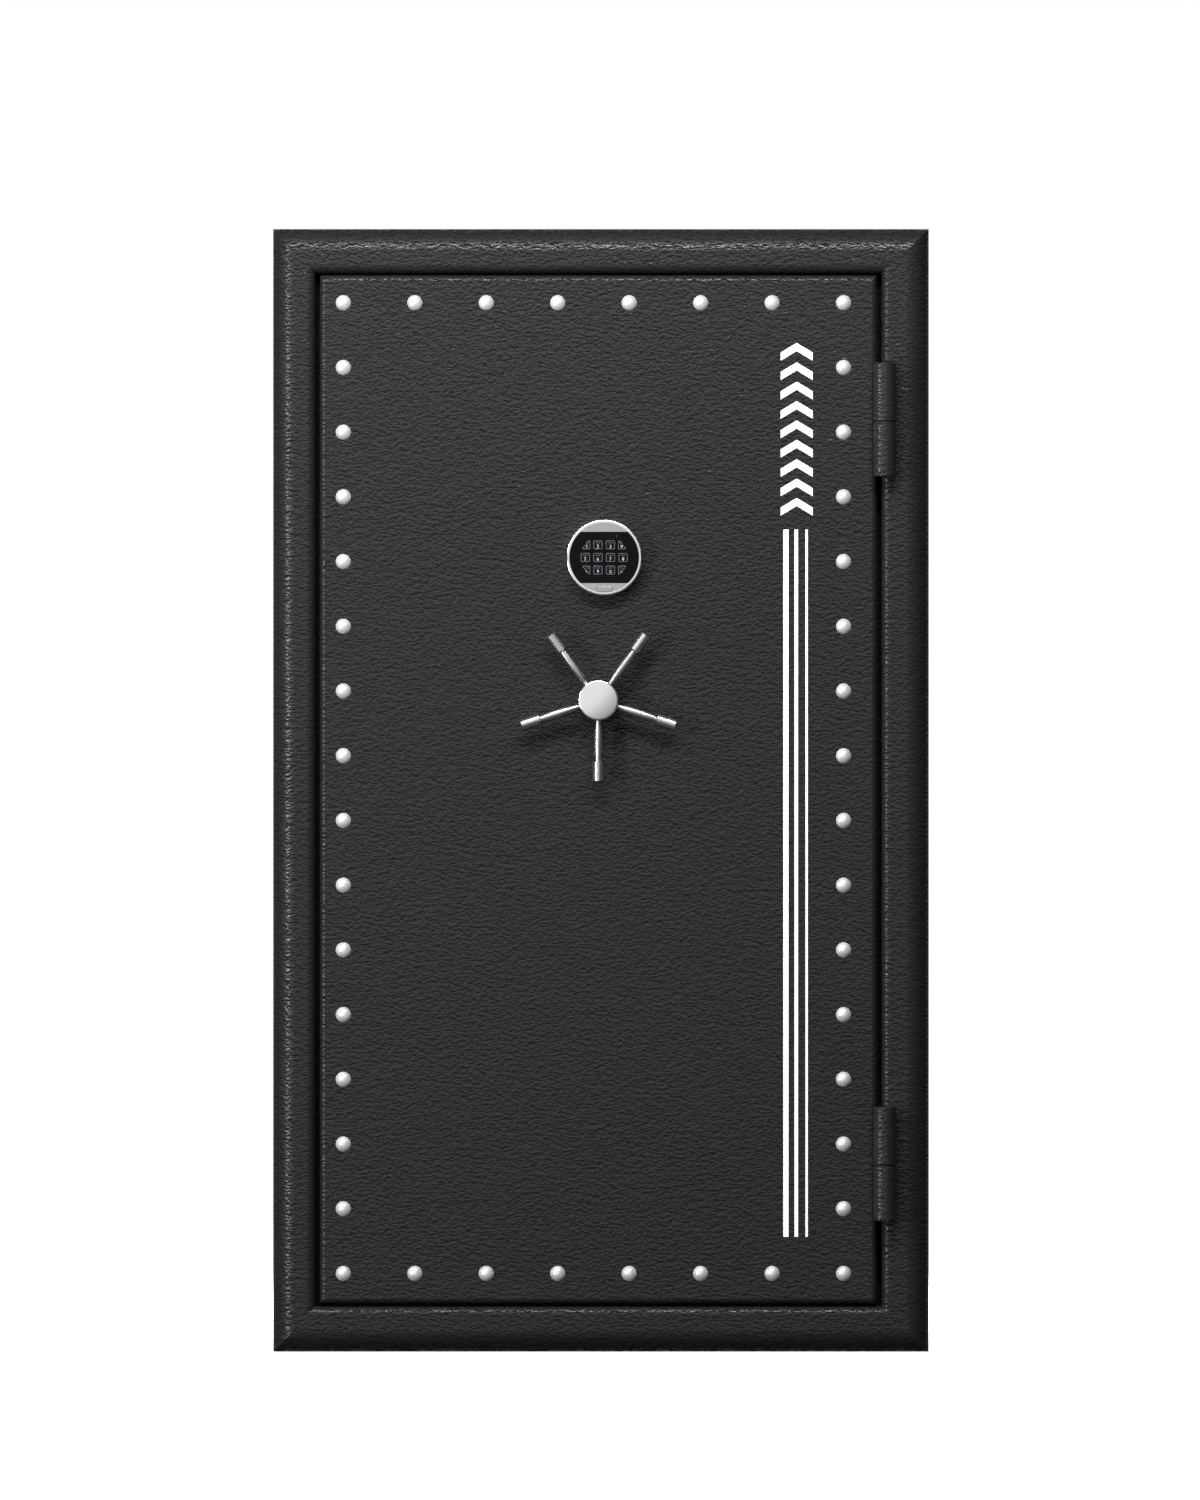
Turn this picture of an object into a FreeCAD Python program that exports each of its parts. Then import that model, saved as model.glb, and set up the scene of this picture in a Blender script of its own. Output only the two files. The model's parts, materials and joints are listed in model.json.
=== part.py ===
import FreeCAD, Part
import math
import os

# Gun safe: a welded steel body with a flush door on two external barrel hinges.
# A five-spoke handle turns a pinion, which drives four sets of locking bolts through racks.
# Millimetres. X to the right, Y to the back, Z up. The origin is on the floor, at the centre
# of the four anchor holes. The door is shut and its bolts are drawn back.

# --- body ---
body_width = 890.0
body_height = 1524.0
body_depth = 610.0
body_sheet = 4.0
nose_radius = 30.0          # rolled outer edge round the front
rear_edge_radius = 3.0
frame_left = 57.0
frame_right = 64.0
frame_top = 60.0
frame_bottom = 62.0
lip_radius = 12.0           # rolled edge of the door opening
jamb_depth = 32.0
stop_width = 30.0           # flange behind the door's edge
seal_inset = 6.0
seal_width = 18.0
seal_clearance = 0.4
anchor_spacing_x = 600.0
anchor_spacing_y = 300.0
anchor_hole_radius = 7.0

# --- fire boards and linings ---
fire_board = 15.0
lining = 6.0
board_clearance = 0.5

# --- inside fittings ---
shelf_thickness = 18.0
shelf_front_gap = 30.0      # from the shut door's back to the shelves
top_shelf_drop = 294.0      # from the body's top
divider_left = 80.0
side_shelf_heights = (330.0, 630.0, 930.0)
standard_width = 16.0
standard_thickness = 3.0
standard_slot = (5.0, 14.0)
standard_slot_pitch = 50.0
standard_inset = 60.0
clip_height = 14.0
clip_thickness = 2.5
clip_reach = 16.0
rack_height = 940.0
rack_depth = 85.0
barrel_count = 7
barrel_notch_width = 34.0
barrel_notch_depth = 48.0

# --- door ---
gap_left = 6.8
gap_right = 6.8
gap_top = 3.3
gap_bottom = 3.8
door_thickness = 26.0
door_sheet = 5.0
door_edge_radius = 7.5
inner_plate = 5.0
pan_clearance = 12.0        # between the stop flange and the bolt pan
pan_depth = 85.0
pan_sheet = 4.0
pan_flange = 24.0
pan_flange_sheet = 3.0
back_cover = 12.0
back_cover_inset = 6.0

# --- dome bolts round the door ---
dome_radius = 10.25
dome_height = 5.5
dome_shank_radius = 4.0
dome_shank_length = 16.0
dome_columns = (31.7, 45.1)     # from the door's left and right edges
dome_rows = (40.9, 37.1)        # from its bottom and top edges
dome_side_count = 16
dome_row_count = 8

# --- stripes and motif, thin film on the door ---
film = 0.3
stripes = ((250.9, 7.2), (264.9, 4.9), (279.0, 3.25))   # centre and width of each
stripe_bottom = 156.4
stripe_drop = 408.2         # from the body's top
motif_centre = 265.5
motif_width = 43.4
motif_drop = 155.0          # from the body's top
motif_height = 234.2
motif_count = 9
motif_band = 11.0
motif_rise = 13.0

# --- hinges ---
hinge_x = 384.6
hinge_stand_off = 16.0      # axis in front of the door's face
knuckle_radius = 15.5
hinge_rise = 178.5          # lower knuckle above the floor
hinge_drop = 336.4          # upper knuckle below the body's top
frame_knuckle_length = 73.7
door_knuckle_length = 79.1
knuckle_gap = 1.6
knuckle_chamfer = 1.2
pin_radius = 7.0
pin_clearance = 0.08
pin_cap = 4.0
collar_thickness = 1.3
collar_radius = 14.0
leaf_thickness = 4.0
leaf_depth = 38.0
pad_width = 6.0

# --- boltwork ---
handle_height = 884.2
module = 2.0
pinion_teeth = 20
pressure_angle = math.radians(20)
tooth_play = 0.12
rack_addendum = 1.9
rack_dedendum = 2.5
strip_width = 15.0
strip_thickness = 8.0
layer_gap = 2.0
rack_layer = 33.0           # from the door's inner plate to the first rack layer
bar_thickness = 8.0
bar_depth = 34.0
bolt_radius = 12.5
bolt_setback = 24.0         # bolt axis behind the inner plate
bolt_clearance = 0.3
bolt_tip_chamfer = 1.5
bolt_tenon_radius = 6.0
bolt_stop_gap = 2.0
side_bolt_count = 5
side_bolt_margin = 95.0
end_bolt_spread = 300.0
end_bar_length = 380.0
shaft_radius = 8.0
shaft_clearance = 0.08
bush_wall = 4.0
bush_flange = 4.0
bush_flange_thickness = 3.0
bridge_half_width = 58.0
bridge_half_height = 16.0
bridge_sheet = 4.0
bridge_foot = 16.0

# --- lock ---
keypad_x = 4.4
keypad_height = 1077.8
lock_case_width = 60.0
lock_case_length = 85.0
lock_case_depth = 26.0
lock_case_drop = 64.8       # from the keypad's centre to the case's lower end
hard_plate = 5.0
hard_plate_size = (120.0, 130.0)
lock_bolt_width = 13.0
lock_bolt_depth = 12.0
lock_bolt_length = 40.0
lock_bolt_throw = 10.0
lock_bolt_clearance = 0.3
lock_play = 0.6
tab_width = 10.0
tab_height = 26.0
tab_gap = 2.0
cable_hole_radius = 5.0

# --- keypad ---
keypad_radius = 51.8
keypad_depth = 21.0
keypad_edge = 2.5
keypad_notch = (1.9, 17.0)
face_radius = 47.3
face_half_height = 34.9
face_corner = 4.0
face_depth = 5.1
face_sink = 0.6
face_web = 2.0
face_clearance = 0.2
key_pitch = 17.1
key_width = 13.5
key_height = 13.1
key_corner = 2.4
corner_key_radius = 1.6
key_cut = 2.75              # length of a corner key's short side
key_rise = 1.2
key_clearance = 0.3
key_flange = 0.7
key_flange_thickness = 1.0
key_flange_play = 0.1
key_edge = 0.5
legends = (("1", "2", "3", "4"), ("5", "6", "7", "8"), ("star", "9", "0", "hash"))

# --- handle ---
escutcheon_radius = 25.0
escutcheon_depth = 6.0
hub_radius = 27.7
hub_gap = 0.6
hub_depth = 36.0
hub_bevel = 3.6
hub_dome = 1.6
spoke_count = 5
spoke_plane = 19.0          # spoke axes in front of the hub's back
spoke_tenon_radius = 3.4
spoke_tenon_depth = 12.0
spoke_belly_radius = 6.2
spoke_neck_radius = 5.1
spoke_length = 53.0
groove_width = 1.8
groove_radius = 4.2
grip_radius = 8.0
grip_length = 27.8
grip_chamfer = 1.3
handle_bore_depth = 29.0

# --- worked out from the sizes above ---
front = -body_depth / 2
back = body_depth / 2
left = -body_width / 2
right = body_width / 2
open_left = left + frame_left
open_right = right - frame_right
open_bottom = frame_bottom
open_top = body_height - frame_top
door_left = open_left + gap_left
door_right = open_right - gap_right
door_bottom = open_bottom + gap_bottom
door_top = open_top - gap_top
door_centre = (door_left + door_right) / 2
door_back = front + door_thickness
stop_face = front + jamb_depth
stop_back = stop_face + body_sheet
pan_left = open_left + stop_width + pan_clearance
pan_right = open_right - stop_width - pan_clearance
pan_bottom = open_bottom + stop_width + pan_clearance
pan_top = open_top - stop_width - pan_clearance
pan_back = door_back + pan_depth
cover_back = pan_back + back_cover
inside_left = left + body_sheet + fire_board + lining
inside_right = right - body_sheet - fire_board - lining
inside_floor = body_sheet + fire_board + lining
inside_top = body_height - body_sheet - fire_board - lining
inside_back = back - body_sheet - fire_board - lining
shelf_front = cover_back + shelf_front_gap
top_shelf_height = body_height - top_shelf_drop
knuckle_bottoms = (hinge_rise, body_height - hinge_drop)
stripe_top = body_height - stripe_drop
motif_top = body_height - motif_drop
motif_bottom = motif_top - motif_height
pitch_radius = module * pinion_teeth / 2
tooth_pitch = math.pi * module
bolt_travel = pitch_radius * math.pi / 2
bolt_axis_y = door_back + bolt_setback
layer_a = door_back + rack_layer
layer_b = layer_a + strip_thickness + layer_gap
bridge_y = layer_b + strip_thickness + 3 * layer_gap / 2
bar_offset = pan_sheet + bolt_travel + bolt_stop_gap
hinge_y = front - hinge_stand_off
lock_bottom = keypad_height - lock_case_drop
hub_back = front - escutcheon_depth - hub_gap
hub_front = hub_back - hub_depth
spoke_y = hub_back - spoke_plane
face_floor = front - keypad_depth + face_depth
face_front = front - keypad_depth + face_sink


def vec(x, y, z):
    return FreeCAD.Vector(x, y, z)


def box(x0, x1, y0, y1, z0, z1):
    return Part.makeBox(x1 - x0, y1 - y0, z1 - z0, vec(x0, y0, z0))


def cylinder(radius, start, direction, length):
    return Part.makeCylinder(radius, length, start, direction)


def save(shape, name):
    shape = shape.removeSplitter() if shape.ShapeType != "Compound" else shape
    shape.exportStep(os.path.join("parts", name + ".step"))
    solids = len(shape.Solids)
    print(f"{name}: {solids} solid(s), {shape.Volume / 1000:.1f} cm3, valid {shape.isValid()}")


def prism(points, direction):
    """Extrude a closed polygon of points."""
    wire = Part.makePolygon(points + [points[0]])
    return Part.Face(wire).extrude(direction)


def round_edges(shape, radius, wanted):
    """Round the edges whose middle point passes the test."""
    edges = [e for e in shape.Edges if wanted(e.CenterOfMass, e)]
    return shape.makeFillet(radius, edges)


def near(a, b):
    return abs(a - b) < 1e-4


def along(edge, axis):
    tangent = edge.tangentAt(edge.FirstParameter)
    return abs(abs(tangent.dot(axis)) - 1) < 1e-6


# --- body shell ---
def rolled_block(inset, front_radius, rear_radius):
    """Block whose front edges are rolled and meet in mitres, so the corners stay square."""
    x0, x1 = left + inset, right - inset
    z0, z1 = inset, body_height - inset
    y0 = front + inset
    y1 = back if rear_radius else back + body_sheet
    blocks = []
    for axis in (vec(0, 0, 1), vec(1, 0, 0)):
        block = box(x0, x1, y0, y1, z0, z1)
        block = round_edges(block, front_radius, lambda c, e: near(c.y, y0) and along(e, axis))
        if rear_radius:
            block = round_edges(block, rear_radius, lambda c, e: near(c.y, y1) and along(e, axis))
        blocks.append(block)
    return blocks[0].common(blocks[1])


def flared_profile(low, high, y_front, y_back, radius, place):
    """Outline of an opening that widens to the front by a quarter circle on each side."""
    dip = radius * (1 - math.sqrt(0.5))
    reach = body_sheet
    p = [
        place(low, y_back),
        place(low, y_front + radius),
        place(low - dip, y_front + dip),
        place(low - radius, y_front),
        place(low - radius, y_front - reach),
        place(high + radius, y_front - reach),
        place(high + radius, y_front),
        place(high + dip, y_front + dip),
        place(high, y_front + radius),
        place(high, y_back),
    ]
    edges = [
        Part.LineSegment(p[0], p[1]),
        Part.Arc(p[1], p[2], p[3]),
        Part.LineSegment(p[3], p[4]),
        Part.LineSegment(p[4], p[5]),
        Part.LineSegment(p[5], p[6]),
        Part.Arc(p[6], p[7], p[8]),
        Part.LineSegment(p[8], p[9]),
        Part.LineSegment(p[9], p[0]),
    ]
    return Part.Face(Part.Wire([e.toShape() for e in edges]))


def flared_opening(grow, y_back):
    """The door opening, grown by a wall, with its rolled lip."""
    args = (front + grow, y_back, lip_radius - grow)
    across = flared_profile(open_left - grow, open_right + grow, *args, lambda t, y: vec(t, y, 0))
    upward = flared_profile(open_bottom - grow, open_top + grow, *args, lambda t, y: vec(left, y, t))
    return across.extrude(vec(0, 0, body_height)).common(upward.extrude(vec(body_width, 0, 0)))


def body_shell():
    hollow = rolled_block(body_sheet, nose_radius - body_sheet, 0)
    hollow = hollow.cut(flared_opening(body_sheet, stop_back))
    shell = rolled_block(0, nose_radius, rear_edge_radius).cut(hollow)
    shell = shell.cut(flared_opening(0, stop_face))
    window = box(
        open_left + stop_width, open_right - stop_width,
        front, stop_back + body_sheet,
        open_bottom + stop_width, open_top - stop_width,
    )
    return shell.cut(window)


def mitre_wedge(side):
    """Region of one side of the shell, bounded by its mitre lines."""
    reach = stop_width + body_sheet

    def mitre(x, z, open_x, open_z, sx, sz):
        """From an outer corner along the rolled nose, then across the lip to behind the stop."""
        steps = ((x, z, 0), (x, z, nose_radius), (open_x, open_z, -lip_radius), (open_x, open_z, reach))
        return [(a + sx * d, b + sz * d) for a, b, d in steps]

    corners = {
        "bl": mitre(left, 0, open_left, open_bottom, 1, 1),
        "tl": mitre(left, body_height, open_left, open_top, 1, -1),
        "br": mitre(right, 0, open_right, open_bottom, -1, 1),
        "tr": mitre(right, body_height, open_right, open_top, -1, -1),
    }
    first, second = {"left": ("bl", "tl"), "right": ("br", "tr"),
                     "top": ("tl", "tr"), "bottom": ("bl", "br")}[side]
    outline = corners[first] + corners[second][::-1]
    points = [vec(x, front - body_sheet, z) for x, z in outline]
    return prism(points, vec(0, body_depth + 2 * body_sheet, 0))


def anchor_points():
    return [(sx * anchor_spacing_x / 2, sy * anchor_spacing_y / 2) for sx in (-1, 1) for sy in (-1, 1)]


def drill_anchors(shape):
    for x, y in anchor_points():
        shape = shape.cut(cylinder(anchor_hole_radius, vec(x, y, -1), vec(0, 0, 1), inside_floor + 2))
    return shape


def build_body():
    shell = body_shell()
    for side in ("left", "right", "top", "bottom"):
        panel = shell.common(mitre_wedge(side))
        if side == "bottom":
            panel = drill_anchors(panel)
        save(panel, side + "_panel")
    sheet = body_sheet
    save(box(left + sheet, right - sheet, back - sheet, back, sheet, body_height - sheet), "back_panel")


def build_boards():
    x0, x1 = left + body_sheet, right - body_sheet
    z0, z1 = body_sheet, body_height - body_sheet
    y0, y1 = stop_back + body_sheet, back - body_sheet
    b = fire_board
    sides = [box(x0, x0 + b, y0, y1, z0 + b, z1 - b), box(x1 - b, x1, y0, y1, z0 + b, z1 - b)]
    save(Part.makeCompound(sides), "side_fire_boards")
    floor = drill_anchors(box(x0, x1, y0, y1, z0, z0 + b))
    save(Part.makeCompound([floor, box(x0, x1, y0, y1, z1 - b, z1)]), "floor_and_roof_fire_boards")
    save(box(x0 + b, x1 - b, y1 - b, y1, z0 + b, z1 - b), "back_fire_board")
    x0, x1, z0, z1, y1 = x0 + b, x1 - b, z0 + b, z1 - b, y1 - b
    t = lining
    walls = [
        box(x0, x0 + t, y0, y1, z0 + t, z1 - t),
        box(x1 - t, x1, y0, y1, z0 + t, z1 - t),
        box(x0 + t, x1 - t, y1 - t, y1, z0 + t, z1 - t),
        box(x0, x1, y0, y1, z1 - t, z1),
    ]
    save(Part.makeCompound(walls), "wall_linings")
    save(drill_anchors(box(x0, x1, y0, y1, z0, z0 + t)), "floor_carpet")


def frame_ring(inset, width, y0, y1):
    x0, x1 = open_left + inset, open_right - inset
    z0, z1 = open_bottom + inset, open_top - inset
    outer = box(x0, x1, y0, y1, z0, z1)
    return outer.cut(box(x0 + width, x1 - width, y0 - 1, y1 + 1, z0 + width, z1 - width))


def build_seal():
    save(frame_ring(seal_inset, seal_width, door_back + seal_clearance, stop_face), "door_seal")


# --- inside fittings ---
def standard_places():
    """Inner faces that carry slotted standards, and the side each one stands out to."""
    face = divider_left + shelf_thickness
    return [(x, out, y) for x, out in ((face, 1), (inside_right, -1))
            for y in (shelf_front + standard_inset, inside_back - standard_inset)]


def build_fittings():
    gap = board_clearance
    t = shelf_thickness
    shelf = box(inside_left + gap, inside_right - gap, shelf_front, inside_back - gap,
                top_shelf_height, top_shelf_height + t)
    front_edge = lambda c, e: near(c.y, shelf_front) and along(e, vec(1, 0, 0))
    save(round_edges(shelf, t / 3, front_edge), "top_shelf")
    divider = box(divider_left, divider_left + t, shelf_front, inside_back - gap,
                  inside_floor, top_shelf_height)
    upright_edge = lambda c, e: near(c.y, shelf_front) and along(e, vec(0, 0, 1))
    save(round_edges(divider, t / 3, upright_edge), "divider")

    standards, clips = [], []
    slot_w, slot_h = standard_slot
    for x, out, y in standard_places():
        x0, x1 = sorted((x, x + out * standard_thickness))
        z0, z1 = inside_floor + 40, top_shelf_height - 40
        bar = box(x0, x1, y - standard_width / 2, y + standard_width / 2, z0, z1)
        for i in range(int((z1 - z0) // standard_slot_pitch)):
            z = z0 + standard_slot_pitch * (i + 0.5)
            bar = bar.cut(box(x0 - 1, x1 + 1, y - slot_w / 2, y + slot_w / 2, z, z + slot_h))
        standards.append(bar)
        foot = x + out * standard_thickness
        for z in side_shelf_heights:
            u0, u1 = sorted((foot, foot + out * clip_reach))
            v0, v1 = sorted((foot, foot + out * clip_thickness))
            ledge = box(u0, u1, y - 6, y + 6, z - clip_thickness, z)
            clips.append(ledge.fuse(box(v0, v1, y - 6, y + 6, z - clip_height, z)).removeSplitter())
    save(Part.makeCompound(standards), "shelf_standards")
    save(Part.makeCompound(clips), "shelf_clips")
    side_gap = standard_thickness + gap
    shelves = []
    for z in side_shelf_heights:
        board = box(divider_left + t + side_gap, inside_right - side_gap,
                    shelf_front, inside_back - gap, z, z + t)
        shelves.append(round_edges(board, t / 3, front_edge))
    save(Part.makeCompound(shelves), "side_shelves")

    x0, x1 = inside_left + gap, divider_left - gap
    y0 = inside_back - gap - rack_depth
    rack = box(x0, x1, y0, inside_back - gap, rack_height, rack_height + t)
    pitch = (x1 - x0) / barrel_count
    half = barrel_notch_width / 2
    for i in range(barrel_count):
        x = x0 + pitch * (i + 0.5)
        rack = rack.cut(box(x - half, x + half, y0 - 1, y0 + barrel_notch_depth - half,
                            rack_height - 1, rack_height + t + 1))
        rack = rack.cut(cylinder(half, vec(x, y0 + barrel_notch_depth - half, rack_height - 1),
                                 vec(0, 0, 1), t + 2))
    save(rack, "barrel_rack")


# --- hinges ---
def build_hinges():
    up = vec(0, 0, 1)
    frame_knuckles, door_knuckles, pins = [], [], []
    low_length, top_length = frame_knuckle_length, door_knuckle_length
    for z in knuckle_bottoms:
        axis_foot = vec(hinge_x, hinge_y, z)
        low = cylinder(knuckle_radius, axis_foot, up, low_length)
        low = low.makeChamfer(knuckle_chamfer, [e for e in low.Edges if e.Closed])
        pad_left = open_right + lip_radius + 0.3
        low = low.fuse(box(pad_left, pad_left + pad_width, hinge_y, front, z + knuckle_chamfer,
                           z + low_length - knuckle_chamfer))
        low = low.cut(cylinder(pin_radius, axis_foot + up * pin_cap, up, low_length))
        frame_knuckles.append(low.removeSplitter())

        top_z = z + low_length + knuckle_gap
        top = cylinder(knuckle_radius, vec(hinge_x, hinge_y, top_z), up, top_length)
        top = top.makeChamfer(knuckle_chamfer, [e for e in top.Edges if e.Closed])
        top = top.fuse(box(door_right, door_right + leaf_thickness, hinge_y, hinge_y + leaf_depth,
                           top_z + knuckle_chamfer, top_z + top_length - knuckle_chamfer))
        top = top.cut(cylinder(pin_radius + pin_clearance, vec(hinge_x, hinge_y, top_z - 1), up,
                               top_length + 1 - pin_cap))
        door_knuckles.append(top.removeSplitter())

        pin_length = low_length + top_length - 2 * pin_cap + knuckle_gap - 1
        pin = cylinder(pin_radius, axis_foot + up * pin_cap, up, pin_length)
        collar = cylinder(collar_radius, axis_foot + up * low_length, up, collar_thickness)
        pins.append(pin.fuse(collar).removeSplitter())
    save(Part.makeCompound(frame_knuckles), "hinge_frame_knuckles")
    save(Part.makeCompound(door_knuckles), "hinge_door_knuckles")
    save(Part.makeCompound(pins), "hinge_pins")


# --- door ---
def dome_places():
    x0, x1 = door_left + dome_columns[0], door_right - dome_columns[1]
    z0, z1 = door_bottom + dome_rows[0], door_top - dome_rows[1]
    places = []
    for i in range(dome_side_count):
        z = z0 + (z1 - z0) * i / (dome_side_count - 1)
        places += [(x0, z), (x1, z)]
    for i in range(1, dome_row_count - 1):
        x = x0 + (x1 - x0) * i / (dome_row_count - 1)
        places += [(x, z0), (x, z1)]
    return places


def through(radius, x, z, y0, y1):
    return cylinder(radius, vec(x, y0, z), vec(0, 1, 0), y1 - y0)


def build_door():
    tray = box(door_left, door_right, front, door_back, door_bottom, door_top)
    tray = round_edges(tray, door_edge_radius, lambda c, e: near(c.y, front))
    s = door_sheet
    hollow = box(door_left + s, door_right - s, front + s, door_back + 1, door_bottom + s, door_top - s)
    inner_radius = door_edge_radius - s
    hollow = round_edges(hollow, inner_radius, lambda c, e: near(c.y, front + s))
    tray = tray.cut(hollow)
    shanks = [through(dome_shank_radius, x, z, front - 1, front + dome_shank_length)
              for x, z in dome_places()]
    shank_holes = Part.makeCompound(shanks)
    handle_hole = shaft_radius + bush_wall
    for x, z, r in ((door_centre, handle_height, handle_hole), (keypad_x, keypad_height, cable_hole_radius)):
        tray = tray.cut(through(r, x, z, front - 1, front + s + 1))
    save(tray.cut(shank_holes), "door_skin")

    gap = board_clearance
    x0, x1 = door_left + s + gap, door_right - s - gap
    z0, z1 = door_bottom + s + gap, door_top - s - gap
    plate_front = door_back - inner_plate
    board = box(x0, x1, front + s, plate_front, z0, z1)
    board = round_edges(board, inner_radius + gap, lambda c, e: near(c.y, front + s))
    plate = box(x0, x1, plate_front, door_back, z0, z1)
    for x, z, r in ((door_centre, handle_height, handle_hole), (keypad_x, keypad_height, cable_hole_radius)):
        board = board.cut(through(r, x, z, front, door_back))
        plate = plate.cut(through(r, x, z, front, door_back + 1))
    save(board.cut(shank_holes), "door_fire_board")
    save(plate, "door_inner_plate")

    domes = []
    sphere_radius = (dome_radius ** 2 + dome_height ** 2) / (2 * dome_height)
    for x, z in dome_places():
        ball = Part.makeSphere(sphere_radius, vec(x, front - dome_height + sphere_radius, z))
        cap = ball.common(box(x - 20, x + 20, front - 10, front, z - 20, z + 20))
        domes.append(cap.fuse(through(dome_shank_radius, x, z, front, front + dome_shank_length)))
    save(Part.makeCompound([d.removeSplitter() for d in domes]), "dome_bolts")

    films = [box(x - w / 2, x + w / 2, front - film, front, stripe_bottom, stripe_top) for x, w in stripes]
    pitch = (motif_top - motif_bottom - motif_band - motif_rise) / (motif_count - 1)
    half = motif_width / 2
    for i in range(motif_count):
        z = motif_bottom + pitch * i
        outline = [(-half, z), (0, z + motif_rise), (half, z),
                   (half, z + motif_band), (0, z + motif_rise + motif_band), (-half, z + motif_band)]
        points = [vec(motif_centre + x, front - film, h) for x, h in outline]
        films.append(prism(points, vec(0, film, 0)))
    save(Part.makeCompound(films), "door_stripes")


def side_bolt_heights():
    z0, z1 = pan_bottom + side_bolt_margin, pan_top - side_bolt_margin
    return [z0 + (z1 - z0) * i / (side_bolt_count - 1) for i in range(side_bolt_count)]


def end_bolt_places():
    return [door_centre - end_bolt_spread / 2, door_centre + end_bolt_spread / 2]


def bolt_starts():
    """Each bolt set: its outward direction and the points where its bolts cross the pan's outer face."""
    y = bolt_axis_y
    return {
        "left": (vec(-1, 0, 0), [vec(pan_left, y, z) for z in side_bolt_heights()]),
        "right": (vec(1, 0, 0), [vec(pan_right, y, z) for z in side_bolt_heights()]),
        "top": (vec(0, 0, 1), [vec(x, y, pan_top) for x in end_bolt_places()]),
        "bottom": (vec(0, 0, -1), [vec(x, y, pan_bottom) for x in end_bolt_places()]),
    }


def build_pan():
    s = pan_sheet
    pan = box(pan_left, pan_right, door_back, pan_back, pan_bottom, pan_top)
    pan = pan.cut(box(pan_left + s, pan_right - s, door_back - 1, pan_back - pan_flange_sheet,
                      pan_bottom + s, pan_top - s))
    f = pan_flange
    pan = pan.cut(box(pan_left + f, pan_right - f, door_back, pan_back + 1, pan_bottom + f, pan_top - f))
    for outward, starts in bolt_starts().values():
        for start in starts:
            pan = pan.cut(cylinder(bolt_radius + bolt_clearance, start - outward * 2 * s, outward, 3 * s))
    save(pan, "bolt_pan")
    g = back_cover_inset
    cover = box(pan_left + g, pan_right - g, pan_back, cover_back, pan_bottom + g, pan_top - g)
    cover = round_edges(cover, back_cover / 2, lambda c, e: near(c.y, cover_back))
    save(cover, "door_back_cover")


# --- boltwork ---
def rack_strip(run):
    """Rack above the pinion that reaches `run` to the left, on the handle's axis at y = 0."""
    tip = pitch_radius - rack_addendum
    root = pitch_radius + rack_dedendum
    slope = math.tan(pressure_angle)
    half = tooth_pitch / 4 - tooth_play
    tooth_count = 9
    end = tooth_pitch * 7.5
    points = [(-run, root + strip_width), (-run, root)]
    for i in range(-2, tooth_count - 2):
        u = tooth_pitch * (i + 0.5)
        wide = half + slope * rack_dedendum
        narrow = half - slope * rack_addendum
        points += [(u - wide, root), (u - narrow, tip), (u + narrow, tip), (u + wide, root)]
    points += [(end, root), (end, root + strip_width)]
    return prism([vec(u, 0, v) for u, v in points], vec(0, strip_thickness, 0))


def place_rack(strip, turn, layer):
    strip.rotate(vec(0, 0, 0), vec(0, 1, 0), turn)
    strip.translate(vec(door_centre, layer, handle_height))
    return strip


def pinion_shape():
    """Involute spur gear round the Y axis, with a tooth on each of the four quarter lines."""
    base = pitch_radius * math.cos(pressure_angle)
    outer = pitch_radius + rack_addendum
    root = pitch_radius - rack_dedendum
    inv = math.tan(pressure_angle) - pressure_angle
    half_angle = (tooth_pitch / 4 - tooth_play) / pitch_radius + inv
    steps = 6

    def flank(side, centre):
        points = []
        for i in range(steps):
            r = base + (outer - base) * i / (steps - 1)
            roll = math.sqrt(max((r / base) ** 2 - 1, 0))
            a = centre + side * (half_angle - (roll - math.atan(roll)))
            points.append(vec(r * math.cos(a), 0, r * math.sin(a)))
        return points

    edges = []
    first = last = None
    for k in range(pinion_teeth):
        centre = 2 * math.pi * k / pinion_teeth
        rise, fall = flank(-1, centre), flank(1, centre)[::-1]
        a0, a1 = centre - half_angle, centre + half_angle
        root_in = vec(root * math.cos(a0), 0, root * math.sin(a0))
        root_out = vec(root * math.cos(a1), 0, root * math.sin(a1))
        if last is not None:
            edges.append(Part.LineSegment(last, root_in).toShape())
        else:
            first = root_in
        edges.append(Part.LineSegment(root_in, rise[0]).toShape())
        for run in (rise, fall):
            curve = Part.BSplineCurve()
            curve.interpolate(run)
            edges.append(curve.toShape())
            if run is rise:
                edges.append(Part.LineSegment(rise[-1], fall[0]).toShape())
        edges.append(Part.LineSegment(fall[-1], root_out).toShape())
        last = root_out
    edges.append(Part.LineSegment(last, first).toShape())
    return Part.Face(Part.Wire(edges))


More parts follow.
